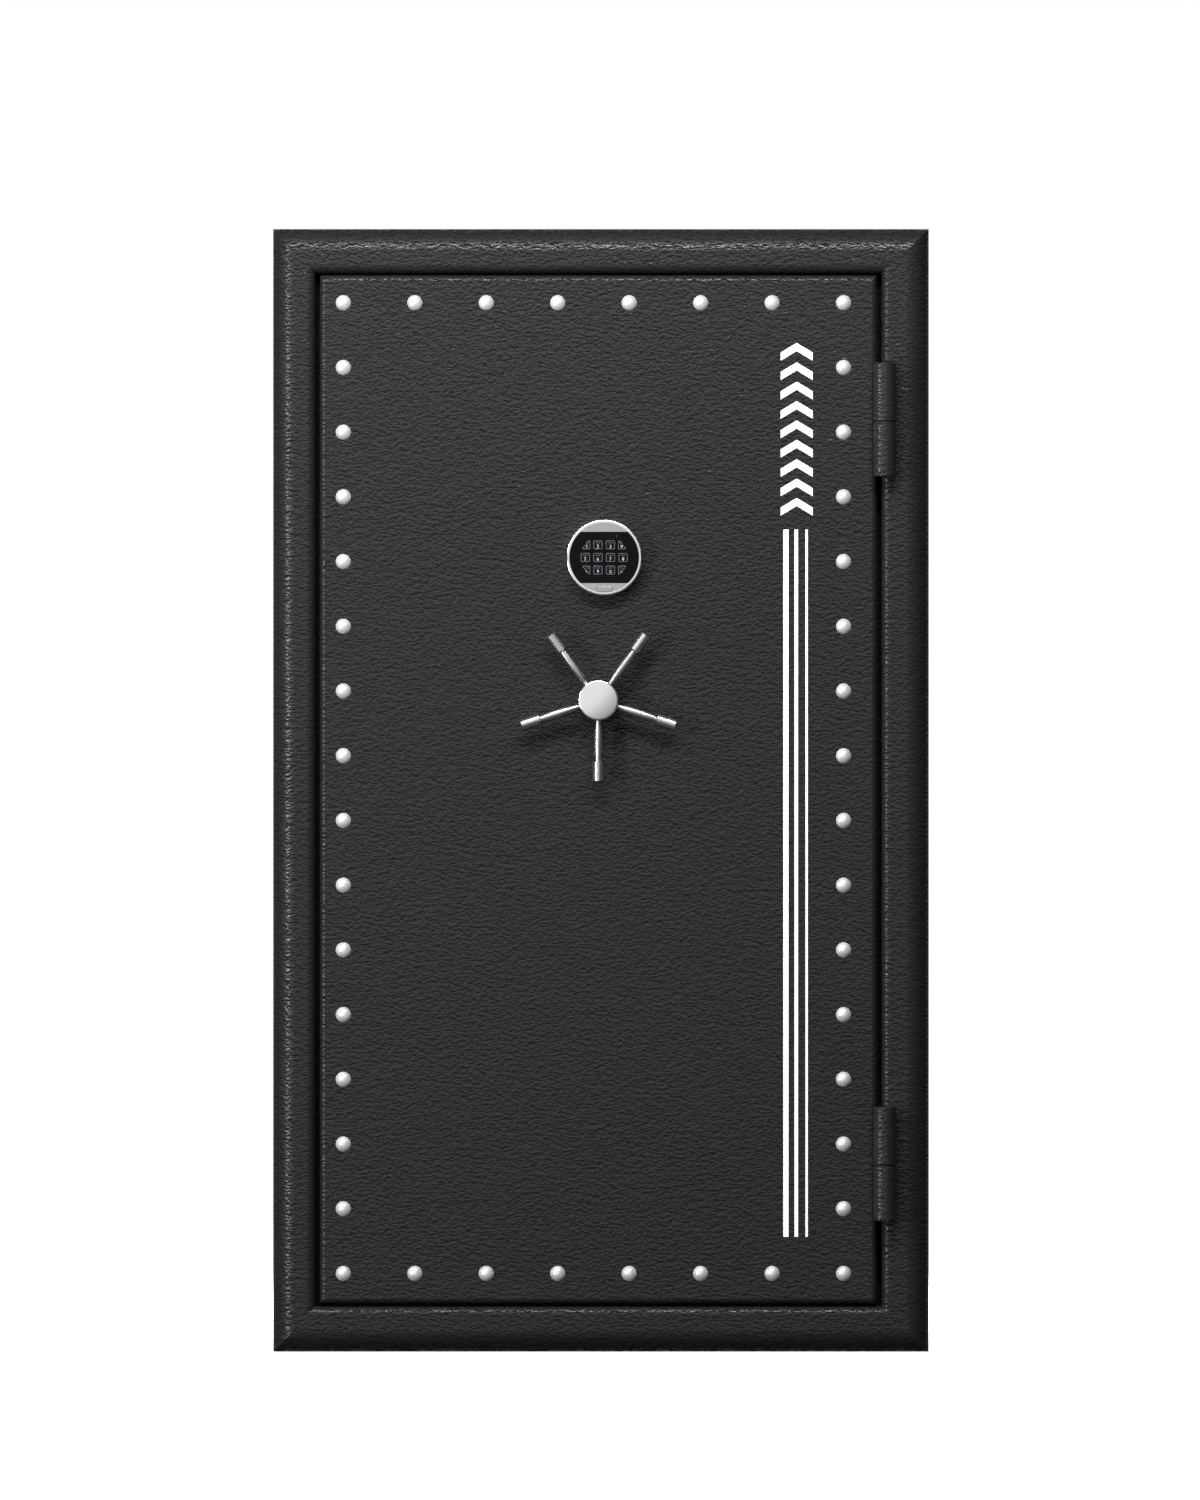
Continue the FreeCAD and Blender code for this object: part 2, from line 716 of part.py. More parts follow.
def build_boltwork():
    bar_y0 = bolt_axis_y - bar_depth / 2 + 2
    side_z0 = pan_bottom + 60
    side_z1 = pan_top - 60
    t = bar_thickness
    bars = {}
    for side, edge in (("left", pan_left), ("right", pan_right)):
        inward = 1 if side == "left" else -1
        x0, x1 = sorted((edge + inward * bar_offset, edge + inward * (bar_offset + t)))
        bars[side] = box(x0, x1, bar_y0, layer_a + strip_thickness, side_z0, side_z1)
    for side, edge in (("top", pan_top), ("bottom", pan_bottom)):
        inward = -1 if side == "top" else 1
        z0, z1 = sorted((edge + inward * bar_offset, edge + inward * (bar_offset + t)))
        bars[side] = box(door_centre - end_bar_length / 2, door_centre + end_bar_length / 2,
                         bar_y0, layer_b + strip_thickness, z0, z1)
    runs = {
        "left": (door_centre - pan_left - bar_offset, 0, layer_a),
        "right": (pan_right - bar_offset - door_centre, 180, layer_a),
        "top": (pan_top - bar_offset - handle_height, 90, layer_b),
        "bottom": (handle_height - pan_bottom - bar_offset, -90, layer_b),
    }
    for side, (outward, starts) in bolt_starts().items():
        run, turn, layer = runs[side]
        bar = bars[side].fuse(place_rack(rack_strip(run), turn, layer))
        if side == "left":
            bar = bar.fuse(lock_tab())
        bolts = []
        for start in starts:
            seat = start - outward * bar_offset
            bolt = cylinder(bolt_radius, seat, outward, bar_offset)
            tip = [e for e in bolt.Edges if e.Closed and near((e.CenterOfMass - start).Length, 0)]
            bolt = bolt.makeChamfer(bolt_tip_chamfer, tip)
            tenon = cylinder(bolt_tenon_radius, seat - outward * (t + 5), outward, t + 5)
            bar = bar.cut(tenon)
            bolts.append(bolt.fuse(tenon).removeSplitter())
        save(bar.removeSplitter(), side + "_bolt_bar")
        save(Part.makeCompound(bolts), side + "_bolts")

    y_front = layer_a - 1
    width = bridge_y - 1 - y_front
    gear = pinion_shape().extrude(vec(0, width, 0))
    gear = gear.cut(cylinder(shaft_radius, vec(0, -1, 0), vec(0, 1, 0), width + 2))
    gear.translate(vec(door_centre, y_front, handle_height))
    save(gear, "pinion")

    shaft_start = hub_back - handle_bore_depth
    shaft_end = bridge_y + bridge_sheet + bush_flange_thickness + 3
    save(through(shaft_radius, door_centre, handle_height, shaft_start, shaft_end), "handle_shaft")
    build_bridge()


def lock_tab():
    """Arm on the left bar with a tab that the lock's bolt drops behind when the bolts are out."""
    tab_right = keypad_x - lock_bolt_width / 2 - lock_play + bolt_travel
    tab_top = lock_bottom - tab_gap
    strip_top = handle_height + pitch_radius + rack_dedendum + strip_width
    arm = box(tab_right - tab_width - 3, tab_right + 3, layer_a, layer_a + strip_thickness,
              strip_top - 1, tab_top)
    bolt_y = door_back + hard_plate + lock_case_depth / 2
    tab = box(tab_right - tab_width, tab_right, bolt_y - lock_bolt_depth / 2, layer_a + strip_thickness,
              tab_top - tab_height, tab_top)
    return arm.fuse(tab)


def build_bridge():
    x, z = door_centre, handle_height
    w, h, s = bridge_half_width, bridge_half_height, bridge_sheet
    plate = box(x - w, x + w, bridge_y, bridge_y + s, z - h, z + h)
    for side in (-1, 1):
        a, b = sorted((x + side * w, x + side * (w - s)))
        plate = plate.fuse(box(a, b, door_back, bridge_y + s, z - h, z + h))
        a, b = sorted((x + side * w, x + side * (w + bridge_foot)))
        plate = plate.fuse(box(a, b, door_back, door_back + s, z - h, z + h))
    bush_radius = shaft_radius + bush_wall
    plate = plate.cut(through(bush_radius, x, z, bridge_y - 1, bridge_y + s + 1))
    save(plate.removeSplitter(), "boltwork_bridge")

    bore = shaft_radius + shaft_clearance
    flange = bush_radius + bush_flange
    sleeve_front = front + door_sheet
    front_bush = through(bush_radius, x, z, sleeve_front, door_back)
    front_bush = front_bush.fuse(through(flange, x, z, door_back, door_back + bush_flange_thickness))
    rear_bush = through(bush_radius, x, z, bridge_y, bridge_y + s)
    rear_bush = rear_bush.fuse(through(flange, x, z, bridge_y + s, bridge_y + s + bush_flange_thickness))
    cut = through(bore, x, z, front, pan_back)
    save(Part.makeCompound([front_bush.cut(cut), rear_bush.cut(cut)]), "shaft_bushes")


# --- lock and keypad ---
def build_lock():
    y0 = door_back
    w, h = hard_plate_size
    z_mid = lock_bottom + lock_case_length / 2
    plate = box(keypad_x - w / 2, keypad_x + w / 2, y0, y0 + hard_plate, z_mid - h / 2, z_mid + h / 2)
    save(plate.cut(through(cable_hole_radius, keypad_x, keypad_height, y0 - 1, y0 + hard_plate + 1)),
         "hard_plate")
    y0 += hard_plate
    y1 = y0 + lock_case_depth
    case = box(keypad_x - lock_case_width / 2, keypad_x + lock_case_width / 2, y0, y1,
               lock_bottom, lock_bottom + lock_case_length)
    case = round_edges(case, 3, lambda c, e: near(c.y, y1))
    y_mid = (y0 + y1) / 2
    g = lock_bolt_clearance
    bw, bd = lock_bolt_width / 2, lock_bolt_depth / 2
    case = case.cut(box(keypad_x - bw - g, keypad_x + bw + g, y_mid - bd - g, y_mid + bd + g,
                        lock_bottom - 1, lock_bottom + lock_bolt_length + g))
    save(case, "lock_case")
    save(box(keypad_x - bw, keypad_x + bw, y_mid - bd, y_mid + bd,
             lock_bottom, lock_bottom + lock_bolt_length), "lock_bolt")


def face_disc(shrink, y0, y1):
    """Round disc with its top and bottom cut flat."""
    disc = through(face_radius - shrink, keypad_x, keypad_height, y0, y1)
    half = face_half_height - shrink
    disc = disc.common(box(keypad_x - face_radius, keypad_x + face_radius, y0, y1,
                           keypad_height - half, keypad_height + half))
    return round_edges(disc, face_corner - shrink, lambda c, e: along(e, vec(0, 1, 0)))


def key_block(column, row, grow, y0, y1):
    """One key's plan, grown by a margin, between two depths. A corner key is a slanted wedge."""
    x = keypad_x + (column - 1.5) * key_pitch
    z = keypad_height + (1 - row) * key_pitch
    w, h = key_width / 2, key_height / 2
    plan = [(-w, -h), (w, -h), (w, h), (-w, h)]
    radius = key_corner
    if column in (0, 3) and row in (0, 2):
        sx = -1 if column == 0 else 1
        sz = 1 if row == 0 else -1
        plan = [(-sx * w, -sz * h), (sx * w, -sz * h), (-sx * (w - key_cut), sz * h), (-sx * w, sz * h)]
        radius = corner_key_radius
    points = [vec(x + u, y0, z + v) for u, v in plan]
    face = Part.Face(Part.makePolygon(points + [points[0]]))
    if grow:
        face = face.makeOffset2D(grow, join=2)
    block = face.extrude(vec(0, y1 - y0, 0))
    return round_edges(block, radius, lambda c, e: along(e, vec(0, 1, 0)))


def build_keypad():
    y0 = front - keypad_depth
    x, z = keypad_x, keypad_height
    housing = through(keypad_radius, x, z, y0, front)
    housing = round_edges(housing, keypad_edge, lambda c, e: e.Closed and near(c.y, y0))
    housing = housing.cut(face_disc(0, y0 - 1, face_floor))
    notch, tall = keypad_notch
    for side in (-1, 1):
        a, b = sorted((x + side * (keypad_radius - notch), x + side * (keypad_radius + 1)))
        housing = housing.cut(box(a, b, y0 - 1, front + 1, z - tall / 2, z + tall / 2))
    housing = housing.cut(through(cable_hole_radius, x, z, face_floor - 1, front + 1))
    save(housing, "keypad_housing")

    web_back = face_front + face_web
    panel = face_disc(face_clearance, face_front, face_floor)
    for row in range(3):
        for column in range(4):
            panel = panel.cut(key_block(column, row, key_clearance, face_front - 1, web_back + 1))
            panel = panel.cut(key_block(column, row, key_flange + key_clearance, web_back, face_floor + 1))
            cap = key_block(column, row, 0, face_front - key_rise, web_back + key_flange_play)
            y_tip = face_front - key_rise
            cap = round_edges(cap, key_edge, lambda c, e: near(c.y, y_tip))
            flange_y = web_back + key_flange_play
            flange = key_block(column, row, key_flange, flange_y, flange_y + key_flange_thickness)
            save(cap.fuse(flange).removeSplitter(), "key_" + legends[row][column])
    save(panel, "keypad_face")


# --- handle ---
def build_handle():
    x, z = door_centre, handle_height
    plate = through(escutcheon_radius, x, z, front - escutcheon_depth, front)
    plate = round_edges(plate, 1.5, lambda c, e: e.Closed and near(c.y, front - escutcheon_depth))
    plate = plate.cut(through(shaft_radius + 0.5, x, z, front - escutcheon_depth - 1, front + 1))
    save(plate, "handle_escutcheon")

    rim = hub_front + hub_bevel
    flat_radius = hub_radius - hub_bevel
    profile = [
        Part.LineSegment(vec(x, hub_back, z), vec(x + hub_radius, hub_back, z)),
        Part.LineSegment(vec(x + hub_radius, hub_back, z), vec(x + hub_radius, rim, z)),
        Part.LineSegment(vec(x + hub_radius, rim, z), vec(x + flat_radius, hub_front, z)),
    ]
    dome_sphere = (flat_radius ** 2 + hub_dome ** 2) / (2 * hub_dome)
    middle = flat_radius / 2
    drop = dome_sphere - math.sqrt(dome_sphere ** 2 - middle ** 2)
    profile.append(Part.Arc(vec(x + flat_radius, hub_front, z),
                            vec(x + middle, hub_front - hub_dome + drop, z),
                            vec(x, hub_front - hub_dome, z)))
    profile.append(Part.LineSegment(vec(x, hub_front - hub_dome, z), vec(x, hub_back, z)))
    wire = Part.Wire([e.toShape() for e in profile])
    hub = Part.Face(wire).revolve(vec(x, 0, z), vec(0, 1, 0), 360)
    hub = hub.cut(through(shaft_radius, x, z, hub_back - handle_bore_depth, hub_back + 1))

    spokes, grips = [], []
    root = hub_radius - spoke_tenon_depth
    neck = hub_radius + spoke_length
    grip_start = neck + groove_width
    for k in range(spoke_count):
        turn = 360.0 * k / spoke_count
        tenon = cylinder(spoke_tenon_radius, vec(x, spoke_y, z - root), vec(0, 0, -1), spoke_tenon_depth + 1)
        tenon.rotate(vec(x, spoke_y, z), vec(0, 1, 0), turn)
        hub = hub.cut(tenon)
        spoke = turned_spoke(root, neck, grip_start)
        grip = turned_grip(grip_start)
        for piece, group in ((spoke, spokes), (grip, grips)):
            piece.translate(vec(x, spoke_y, z))
            piece.rotate(vec(x, spoke_y, z), vec(0, 1, 0), turn)
            group.append(piece)
    save(hub, "handle_hub")
    save(Part.makeCompound(spokes), "handle_spokes")
    save(Part.makeCompound(grips), "handle_grips")


def turned_spoke(root, neck, grip_start):
    """Spoke that hangs down from the handle's centre: tenon, swelling shank and a thin stud."""
    start = hub_radius
    swell = [(spoke_tenon_radius, start), (spoke_belly_radius * 0.83, start + spoke_length * 0.2),
             (spoke_belly_radius, start + spoke_length * 0.55), (spoke_neck_radius, neck)]
    shank = Part.BSplineCurve()
    shank.interpolate([vec(r, 0, -s) for r, s in swell])
    stud_end = grip_start + 10
    line = [vec(spoke_neck_radius, 0, -neck), vec(groove_radius, 0, -neck), vec(groove_radius, 0, -stud_end),
            vec(0, 0, -stud_end), vec(0, 0, -root), vec(spoke_tenon_radius, 0, -root),
            vec(spoke_tenon_radius, 0, -start)]
    edges = [shank.toShape()] + [Part.LineSegment(a, b).toShape() for a, b in zip(line, line[1:])]
    return Part.Face(Part.Wire(edges)).revolve(vec(0, 0, 0), vec(0, 0, 1), 360)


def turned_grip(grip_start):
    """Cylindrical end grip with chamfered ends, bored for the spoke's stud."""
    grip = cylinder(grip_radius, vec(0, 0, -grip_start), vec(0, 0, -1), grip_length)
    grip = grip.makeChamfer(grip_chamfer, [e for e in grip.Edges if e.Closed])
    return grip.cut(cylinder(groove_radius, vec(0, 0, -grip_start), vec(0, 0, -1), 10))


os.makedirs("parts", exist_ok=True)
build_body()
build_boards()
build_seal()
build_fittings()
build_hinges()
build_door()
build_pan()
build_boltwork()
build_lock()
build_keypad()
build_handle()
print("bolt travel", round(bolt_travel, 4), "mm for a quarter turn")
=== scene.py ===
import json
import math

import bmesh
import bpy
import numpy as np
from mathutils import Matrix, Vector


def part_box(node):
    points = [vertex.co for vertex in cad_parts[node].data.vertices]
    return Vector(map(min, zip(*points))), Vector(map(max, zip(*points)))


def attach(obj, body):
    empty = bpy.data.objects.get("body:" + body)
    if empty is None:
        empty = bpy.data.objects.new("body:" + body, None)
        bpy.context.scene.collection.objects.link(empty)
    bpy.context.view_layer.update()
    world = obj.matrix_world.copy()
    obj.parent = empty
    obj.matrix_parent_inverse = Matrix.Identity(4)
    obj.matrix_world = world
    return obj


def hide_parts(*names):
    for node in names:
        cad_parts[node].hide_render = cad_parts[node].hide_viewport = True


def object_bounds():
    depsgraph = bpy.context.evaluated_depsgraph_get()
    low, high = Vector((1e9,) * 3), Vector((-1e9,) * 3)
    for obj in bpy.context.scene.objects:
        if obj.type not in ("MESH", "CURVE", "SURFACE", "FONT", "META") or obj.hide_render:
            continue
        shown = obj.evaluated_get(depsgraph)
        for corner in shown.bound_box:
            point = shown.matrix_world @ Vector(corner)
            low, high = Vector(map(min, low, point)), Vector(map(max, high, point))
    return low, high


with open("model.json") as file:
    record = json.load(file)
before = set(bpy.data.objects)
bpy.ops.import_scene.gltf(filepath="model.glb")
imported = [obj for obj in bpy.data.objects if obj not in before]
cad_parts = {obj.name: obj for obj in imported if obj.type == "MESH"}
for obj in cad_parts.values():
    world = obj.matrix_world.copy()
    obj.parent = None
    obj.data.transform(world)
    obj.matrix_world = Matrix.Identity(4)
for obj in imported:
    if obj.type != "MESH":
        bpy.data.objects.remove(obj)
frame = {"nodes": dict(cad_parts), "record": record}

cadBox = [list(corner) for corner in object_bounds()]
scene = bpy.context.scene
print("frame loaded:", len(frame["nodes"]), "nodes")


def boxOf(node):
    # a node's lowest and highest corners
    return tuple(np.array(corner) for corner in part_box(node))


# shader wiring
class Wire:
    # an output socket: arithmetic on it adds Math nodes, add() makes any other node
    def __init__(self, tree, socket=None):
        self.tree = tree
        self.socket = socket

    def add(self, kind, settings={}, sockets={}, out=0):
        node = self.tree.nodes.new(kind)
        for name, value in settings.items():
            setattr(node, name, value)
        for name, value in sockets.items():
            if isinstance(value, Wire):
                self.tree.links.new(value.socket, node.inputs[name])
            else:
                node.inputs[name].default_value = value
        return Wire(self.tree, node.outputs[out] if len(node.outputs) else None)

    def split(self):
        # the three numbers of a vector
        parts = self.add("ShaderNodeSeparateXYZ", {}, {"Vector": self}).socket.node.outputs
        return [Wire(self.tree, part) for part in parts]

    def reckon(self, operation, *terms):
        return self.add("ShaderNodeMath", {"operation": operation}, dict(enumerate(terms)))

    def __add__(self, other):
        return self.reckon("ADD", self, other)

    def __radd__(self, other):
        return self.reckon("ADD", other, self)

    def __sub__(self, other):
        return self.reckon("SUBTRACT", self, other)

    def __rsub__(self, other):
        return self.reckon("SUBTRACT", other, self)

    def __mul__(self, other):
        return self.reckon("MULTIPLY", self, other)

    def __rmul__(self, other):
        return self.reckon("MULTIPLY", other, self)

    def __abs__(self):
        return self.reckon("ABSOLUTE", self)


def noise(place, scale, detail=2.0, distortion=0.0):
    return place.add("ShaderNodeTexNoise", {}, {"Vector": place, "Scale": scale, "Detail": detail,
                                                "Distortion": distortion})


def stretch(place, scale):
    return place.add("ShaderNodeMapping", {}, {"Vector": place, "Scale": scale})


def blendShade(mask, dark, light):
    # the dark colour where the mask is 0 and the light one where it is 1; either may be a wire
    dark, light = (shade if isinstance(shade, Wire) else (*shade, 1) for shade in (dark, light))
    return mask.add("ShaderNodeMix", {"data_type": "RGBA"}, {"Factor": mask, "A": dark, "B": light},
                    out=2)


def ease(value, low, high):
    # 0 at low, 1 at high, with a smooth turn between them
    return value.add("ShaderNodeMapRange", {"interpolation_type": "SMOOTHSTEP"},
                     {"Value": value, "From Min": low, "From Max": high})


def relief(height, distance):
    return height.add("ShaderNodeBump", {}, {"Height": height, "Distance": distance,
                                             "Strength": 1.0})


def surface(name, recipe, **fixed):
    # recipe gives what varies over the surface, fixed goes on the shader's own sockets
    material = bpy.data.materials.new(name)
    material.use_nodes = True
    material.node_tree.nodes.clear()
    start = Wire(material.node_tree)
    place = start.add("ShaderNodeTexCoord", out="Object")
    sockets = {key.replace("_", " "): value for key, value in fixed.items()}
    shader = start.add("ShaderNodeBsdfPrincipled", {}, {**sockets, **recipe(place)})
    start.add("ShaderNodeOutputMaterial", {}, {"Surface": shader})
    return material


# finishes
powder = {
    # the coat's colour in painted shade, on wrinkle slopes that face down and in the gap round the
    # door, and in painted light, on slopes that face up
    "dark": (0.0004, 0.0004, 0.0005),
    "light": (0.0175, 0.0175, 0.018),
    "grain": 300.0,            # wrinkles in a metre
    "warp": 0.6,               # how far the wrinkles wander
    "stretch": (0.5, 0.5, 1.0),
    "slope": (0.0, 0.0, 0.36), # how far up the next height is read, in wrinkles
    "contrast": (-0.10, 0.13), # steps between the two heights that give full painted shade with a dull coat, and full painted light with polish
    "depth": 0.0006,
    "polish": 0.22,            # roughness on the ridges
    "dull": 0.88,              # and down in the creases
    "cloud": (5.0, 0.06),      # slow change of roughness: patches in a metre, and how much
}
gap = {                        # painted shade in the gap between door and frame, placed from the door's outline and front
    "sides": 0.008,            # how far past the door's sides it ends
    "ends": 0.006,             # and past its top and bottom
    "edge": 0.003,             # how far in from the outline it starts
    "fade": 0.002,
    "shallow": (0.012, 0.018), # depths where it starts and is full
    "deep": (0.036, 0.040),    # depths where it begins to end and has ended
    "dull": 0.5,
}
bezel = {"radii": (0.0472, 0.0480), "bright": (0.93, 0.93, 0.94), "polish": 0.06}


def powderPaintedLightRecipe(place):
    # wrinkles with painted light from above: where the noise is higher than a little further up, the
    # slope faces up and its colour is painted lit and its coat polished; elsewhere its colour is
    # painted shade and its coat dull, and deep in the gap round the door the colour is painted shade
    drawnOut = stretch(place, powder["stretch"])
    step = tuple(part / powder["grain"] for part in powder["slope"])
    above = drawnOut.add("ShaderNodeVectorMath", {"operation": "ADD"}, {0: drawnOut, 1: step})
    wrinkle = noise(drawnOut, powder["grain"], 1.0, powder["warp"])
    nextWrinkle = noise(above, powder["grain"], 1.0, powder["warp"])
    patches, change = powder["cloud"]
    ridgeAndPaintedLight = ease(wrinkle - nextWrinkle, *powder["contrast"])
    # where shade is painted into the coat's colour, deep in the gap round the door
    shadedGap = jamb(place)
    return {
        # painted light on the up-facing slopes, painted shade on the rest and in the gap round the
        # door
        "Base Color": blendShade(ridgeAndPaintedLight * (1 - shadedGap), powder["dark"], powder["light"]),
        "Roughness": (powder["dull"] - ridgeAndPaintedLight * (powder["dull"] - powder["polish"])
                      + noise(place, patches) * change + shadedGap * gap["dull"]),
        "Normal": relief(wrinkle, powder["depth"]),
    }


def jamb(place):
    # 1 deep in the gap round the shut door and 0 elsewhere: there the coat's colour is painted shade
    # and its roughness dull
    low, high = boxOf("door_skin")
    middle, half = (low + high) / 2, (high - low) / 2
    x, y, z = place.split()
    across, up = abs(x - middle[0]), abs(z - middle[2])

    def within(sides, ends, fade):
        # 1 inside the door's outline made larger by these two, and 0 outside it
        wide, tall = half[0] + sides, half[2] + ends
        return ease(across, wide, wide - fade) * ease(up, tall, tall - fade)

    frameSide = within(gap["sides"], gap["ends"], gap["fade"])
    doorSide = within(-gap["edge"], -gap["edge"], gap["fade"] / 2)
    starts, full = gap["shallow"]
    ending, ended = gap["deep"]
    depth = (ease(y, low[1] + starts, low[1] + full) * ease(y, low[1] + ended, low[1] + ending))
    return frameSide * (1 - doorSide) * depth


def chromeRecipe(place):
    smudge = noise(place, 38.0, 3.0)
    scratch = noise(stretch(place, (1, 1, 9)), 420.0, 1.0)
    return {
        "Base Color": blendShade(smudge, (0.50, 0.505, 0.515), (0.58, 0.585, 0.595)),
        "Roughness": 0.24 + smudge * 0.06,
        "Normal": relief(scratch, 0.00001),
    }


def satinRecipe(place):
    cloud = noise(place, 60.0)
    return {
        "Base Color": blendShade(cloud, (0.90, 0.90, 0.91), (0.94, 0.94, 0.95)),
        "Roughness": 0.12 + cloud * 0.04,
        "Normal": relief(noise(place, 900.0, 1.0), 0.000006),
    }


def domeRecipe(place):
    cloud = noise(place, 90.0)
    return {
        "Base Color": blendShade(cloud, (0.72, 0.72, 0.72), (0.84, 0.84, 0.84)),
        "Roughness": 0.18 + cloud * 0.08,
        "Normal": relief(noise(place, 700.0, 1.0), 0.00001),
    }


def brushedRecipe(place):
    lines = noise(stretch(place, (26, 26, 1500)), 1.0, 3.0)
    cloud = noise(place, 45.0)
    return {
        "Base Color": blendShade(lines, (0.40, 0.40, 0.42), (0.60, 0.60, 0.62)),
        "Roughness": 0.24 + lines * 0.10 + cloud * 0.05,
        "Normal": relief(lines, 0.00004),
    }


def bezelRecipe(place):
    # the brushed casting, with a polished band round its rim
    low, high = boxOf("keypad_housing")
    x, _, z = place.split()
    across, up = x - (low[0] + high[0]) / 2, z - (low[2] + high[2]) / 2
    rim = ease(across * across + up * up, *(radius ** 2 for radius in bezel["radii"]))
    brushed = brushedRecipe(place)
    return {
        "Base Color": blendShade(rim, brushed["Base Color"], bezel["bright"]),
        "Roughness": brushed["Roughness"] - rim * bezel["polish"],
        "Normal": brushed["Normal"],
    }


def steelRecipe(place):
    grain = noise(stretch(place, (3, 3, 40)), 30.0, 3.0)
    spangle = noise(place, 55.0)
    return {
        "Base Color": blendShade(spangle, (0.42, 0.43, 0.44), (0.60, 0.61, 0.62)),
        "Roughness": 0.30 + grain * 0.15,
        "Normal": relief(grain, 0.00003),
    }


def mouldedRecipe(dark, light, rough, grain=900.0, depth=0.00002):
    # an even surface with a fine grain and a little dust
    def recipe(place):
        dust = noise(place, 40.0, 3.0)
        return {
            "Base Color": blendShade(dust, dark, light),
            "Roughness": rough + dust * 0.06,
            "Normal": relief(noise(place, grain, 1.0), depth),
        }
    return recipe


def filmRecipe(place):
    # thin film, through which the wrinkles under it show faintly
    under = 1 - abs(noise(stretch(place, powder["stretch"]), powder["grain"], 1.5, 0.7) * 2 - 1)
    return {
        "Base Color": blendShade(noise(place, 25.0), (0.90, 0.90, 0.90), (0.96, 0.96, 0.96)),
        "Roughness": 0.34 + under * 0.08,
        "Normal": relief(under, powder["depth"] * 0.25),
    }


def pileRecipe(dark, light, tuft, depth):
    # tufts a few to the centimetre, finer ones between them, and slow patches where it is trodden
    def recipe(place):
        loops = noise(place, tuft, 2.0, 0.5)
        patch = noise(place, 14.0, 3.0)
        return {
            "Base Color": blendShade(loops * 0.7 + patch * 0.3, dark, light),
            "Roughness": 0.86 + loops * 0.1,
            "Normal": relief(loops + noise(place, tuft * 2.3, 1.0) * 0.5, depth),
        }
    return recipe


def weaveRecipe(dark, light, threads, depth):
    # two crossed sets of threads, each a ridge that repeats along one direction
    def recipe(place):
        across, down = (place.add("ShaderNodeTexWave", {"bands_direction": direction},
                                  {"Vector": place, "Scale": threads, "Distortion": 0.6,
                                   "Detail": 1.0}) for direction in "XZ")
        cloth = across * 0.5 + down * 0.5
        patch = noise(place, 9.0, 3.0)
        return {
            "Base Color": blendShade(cloth * 0.6 + patch * 0.4, dark, light),
            "Roughness": 0.8 + patch * 0.1,
            "Normal": relief(cloth + noise(place, 700.0, 1.0) * 0.6, depth),
        }
    return recipe


def moulded(name, *looks, **fixed):
    return surface(name, mouldedRecipe(*looks), **fixed)


finishes = {
    # both powder coats carry painted light and painted shade in their colour
    "powder_coat": surface("pebbledPowderCoatPaintedLight", powderPaintedLightRecipe, Specular_IOR_Level=0.31),
    "hinge_paint": surface("hingePowderCoatPaintedLight", powderPaintedLightRecipe, Specular_IOR_Level=0.4),
    "bright_chrome": surface("polishedChrome", chromeRecipe, Metallic=1.0),
    "satin_nickel": surface("satinNickelDome", domeRecipe, Metallic=0.5),
    "silver_casting": surface("brushedCasting", brushedRecipe, Metallic=1.0),
    "plain_steel": surface("zincPlatedSteel", steelRecipe, Metallic=1.0),
    "black_panel": moulded("glossBlackPanel", (0.002, 0.002, 0.0025), (0.004, 0.004, 0.005), 0.10,
                           1500.0, 0.000004, Specular_IOR_Level=0.06),
    "black_keys": moulded("satinBlackKeys", (0.003, 0.003, 0.004), (0.006, 0.006, 0.008), 0.26,
                          Specular_IOR_Level=0.08),
    # the film glows a little: painted light, as it is no lamp
    "white_film": surface("whiteFilmPaintedGlow", filmRecipe, Emission_Color=(1, 1, 1, 1),
                          Emission_Strength=0.05),
    "fire_board": moulded("fireBoardPaper", (0.52, 0.46, 0.38), (0.63, 0.57, 0.49), 0.85,
                          300.0, 0.0002),
    "grey_lining": surface("greyVelour", pileRecipe((0.045, 0.046, 0.05), (0.11, 0.112, 0.12),
                                                    640.0, 0.0007), Sheen_Weight=0.5),
    "carpeted_board": surface("charcoalCarpet", pileRecipe((0.028, 0.028, 0.032),
                                                           (0.085, 0.087, 0.095), 430.0, 0.0013),
                              Sheen_Weight=0.35),
    "seal_rubber": moulded("spongeRubber", (0.008, 0.008, 0.008), (0.02, 0.02, 0.02), 0.7,
                           500.0, 0.0002),
    "bush_brass": moulded("turnedBrass", (0.62, 0.42, 0.17), (0.74, 0.53, 0.25), 0.24,
                          Metallic=1.0),
}
satinHub = surface("satinHub", satinRecipe, Metallic=1.0)
blackenedSteel = moulded("blackenedSteel", (0.006, 0.006, 0.006), (0.012, 0.012, 0.012), 0.5,
                         Specular_IOR_Level=0.2)
polishedBezel = surface("polishedBezel", bezelRecipe, Metallic=1.0)
ringInk = moulded("greyOutlineInk", (0.085, 0.087, 0.095), (0.12, 0.122, 0.13), 0.5)
digitInk = moulded("paleDigitInk", (0.36, 0.37, 0.39), (0.46, 0.47, 0.49), 0.5)
paddedCloth = surface("quiltedCloth", weaveRecipe((0.05, 0.051, 0.056), (0.12, 0.122, 0.132),
                                                  210.0, 0.0005), Sheen_Weight=0.4)
stitchThread = moulded("stitchThread", (0.16, 0.16, 0.17), (0.24, 0.24, 0.25), 0.7)
lampLens = moulded("lampLens", (0.05, 0.04, 0.04), (0.10, 0.08, 0.08), 0.12)
print("finishes made:", len(finishes))


# carried-over parts: each takes its slot's finish, but for two that differ from their slot
recoated = {"hinge_pins": blackenedSteel, "keypad_housing": polishedBezel}
for entry in frame["record"]["subparts"]:
    node = frame["nodes"][entry["node"]]
    for index in range(len(node.material_slots)):
        node.material_slots[index].material = recoated.get(entry["node"],
                                                           finishes[entry["material_slot"]])


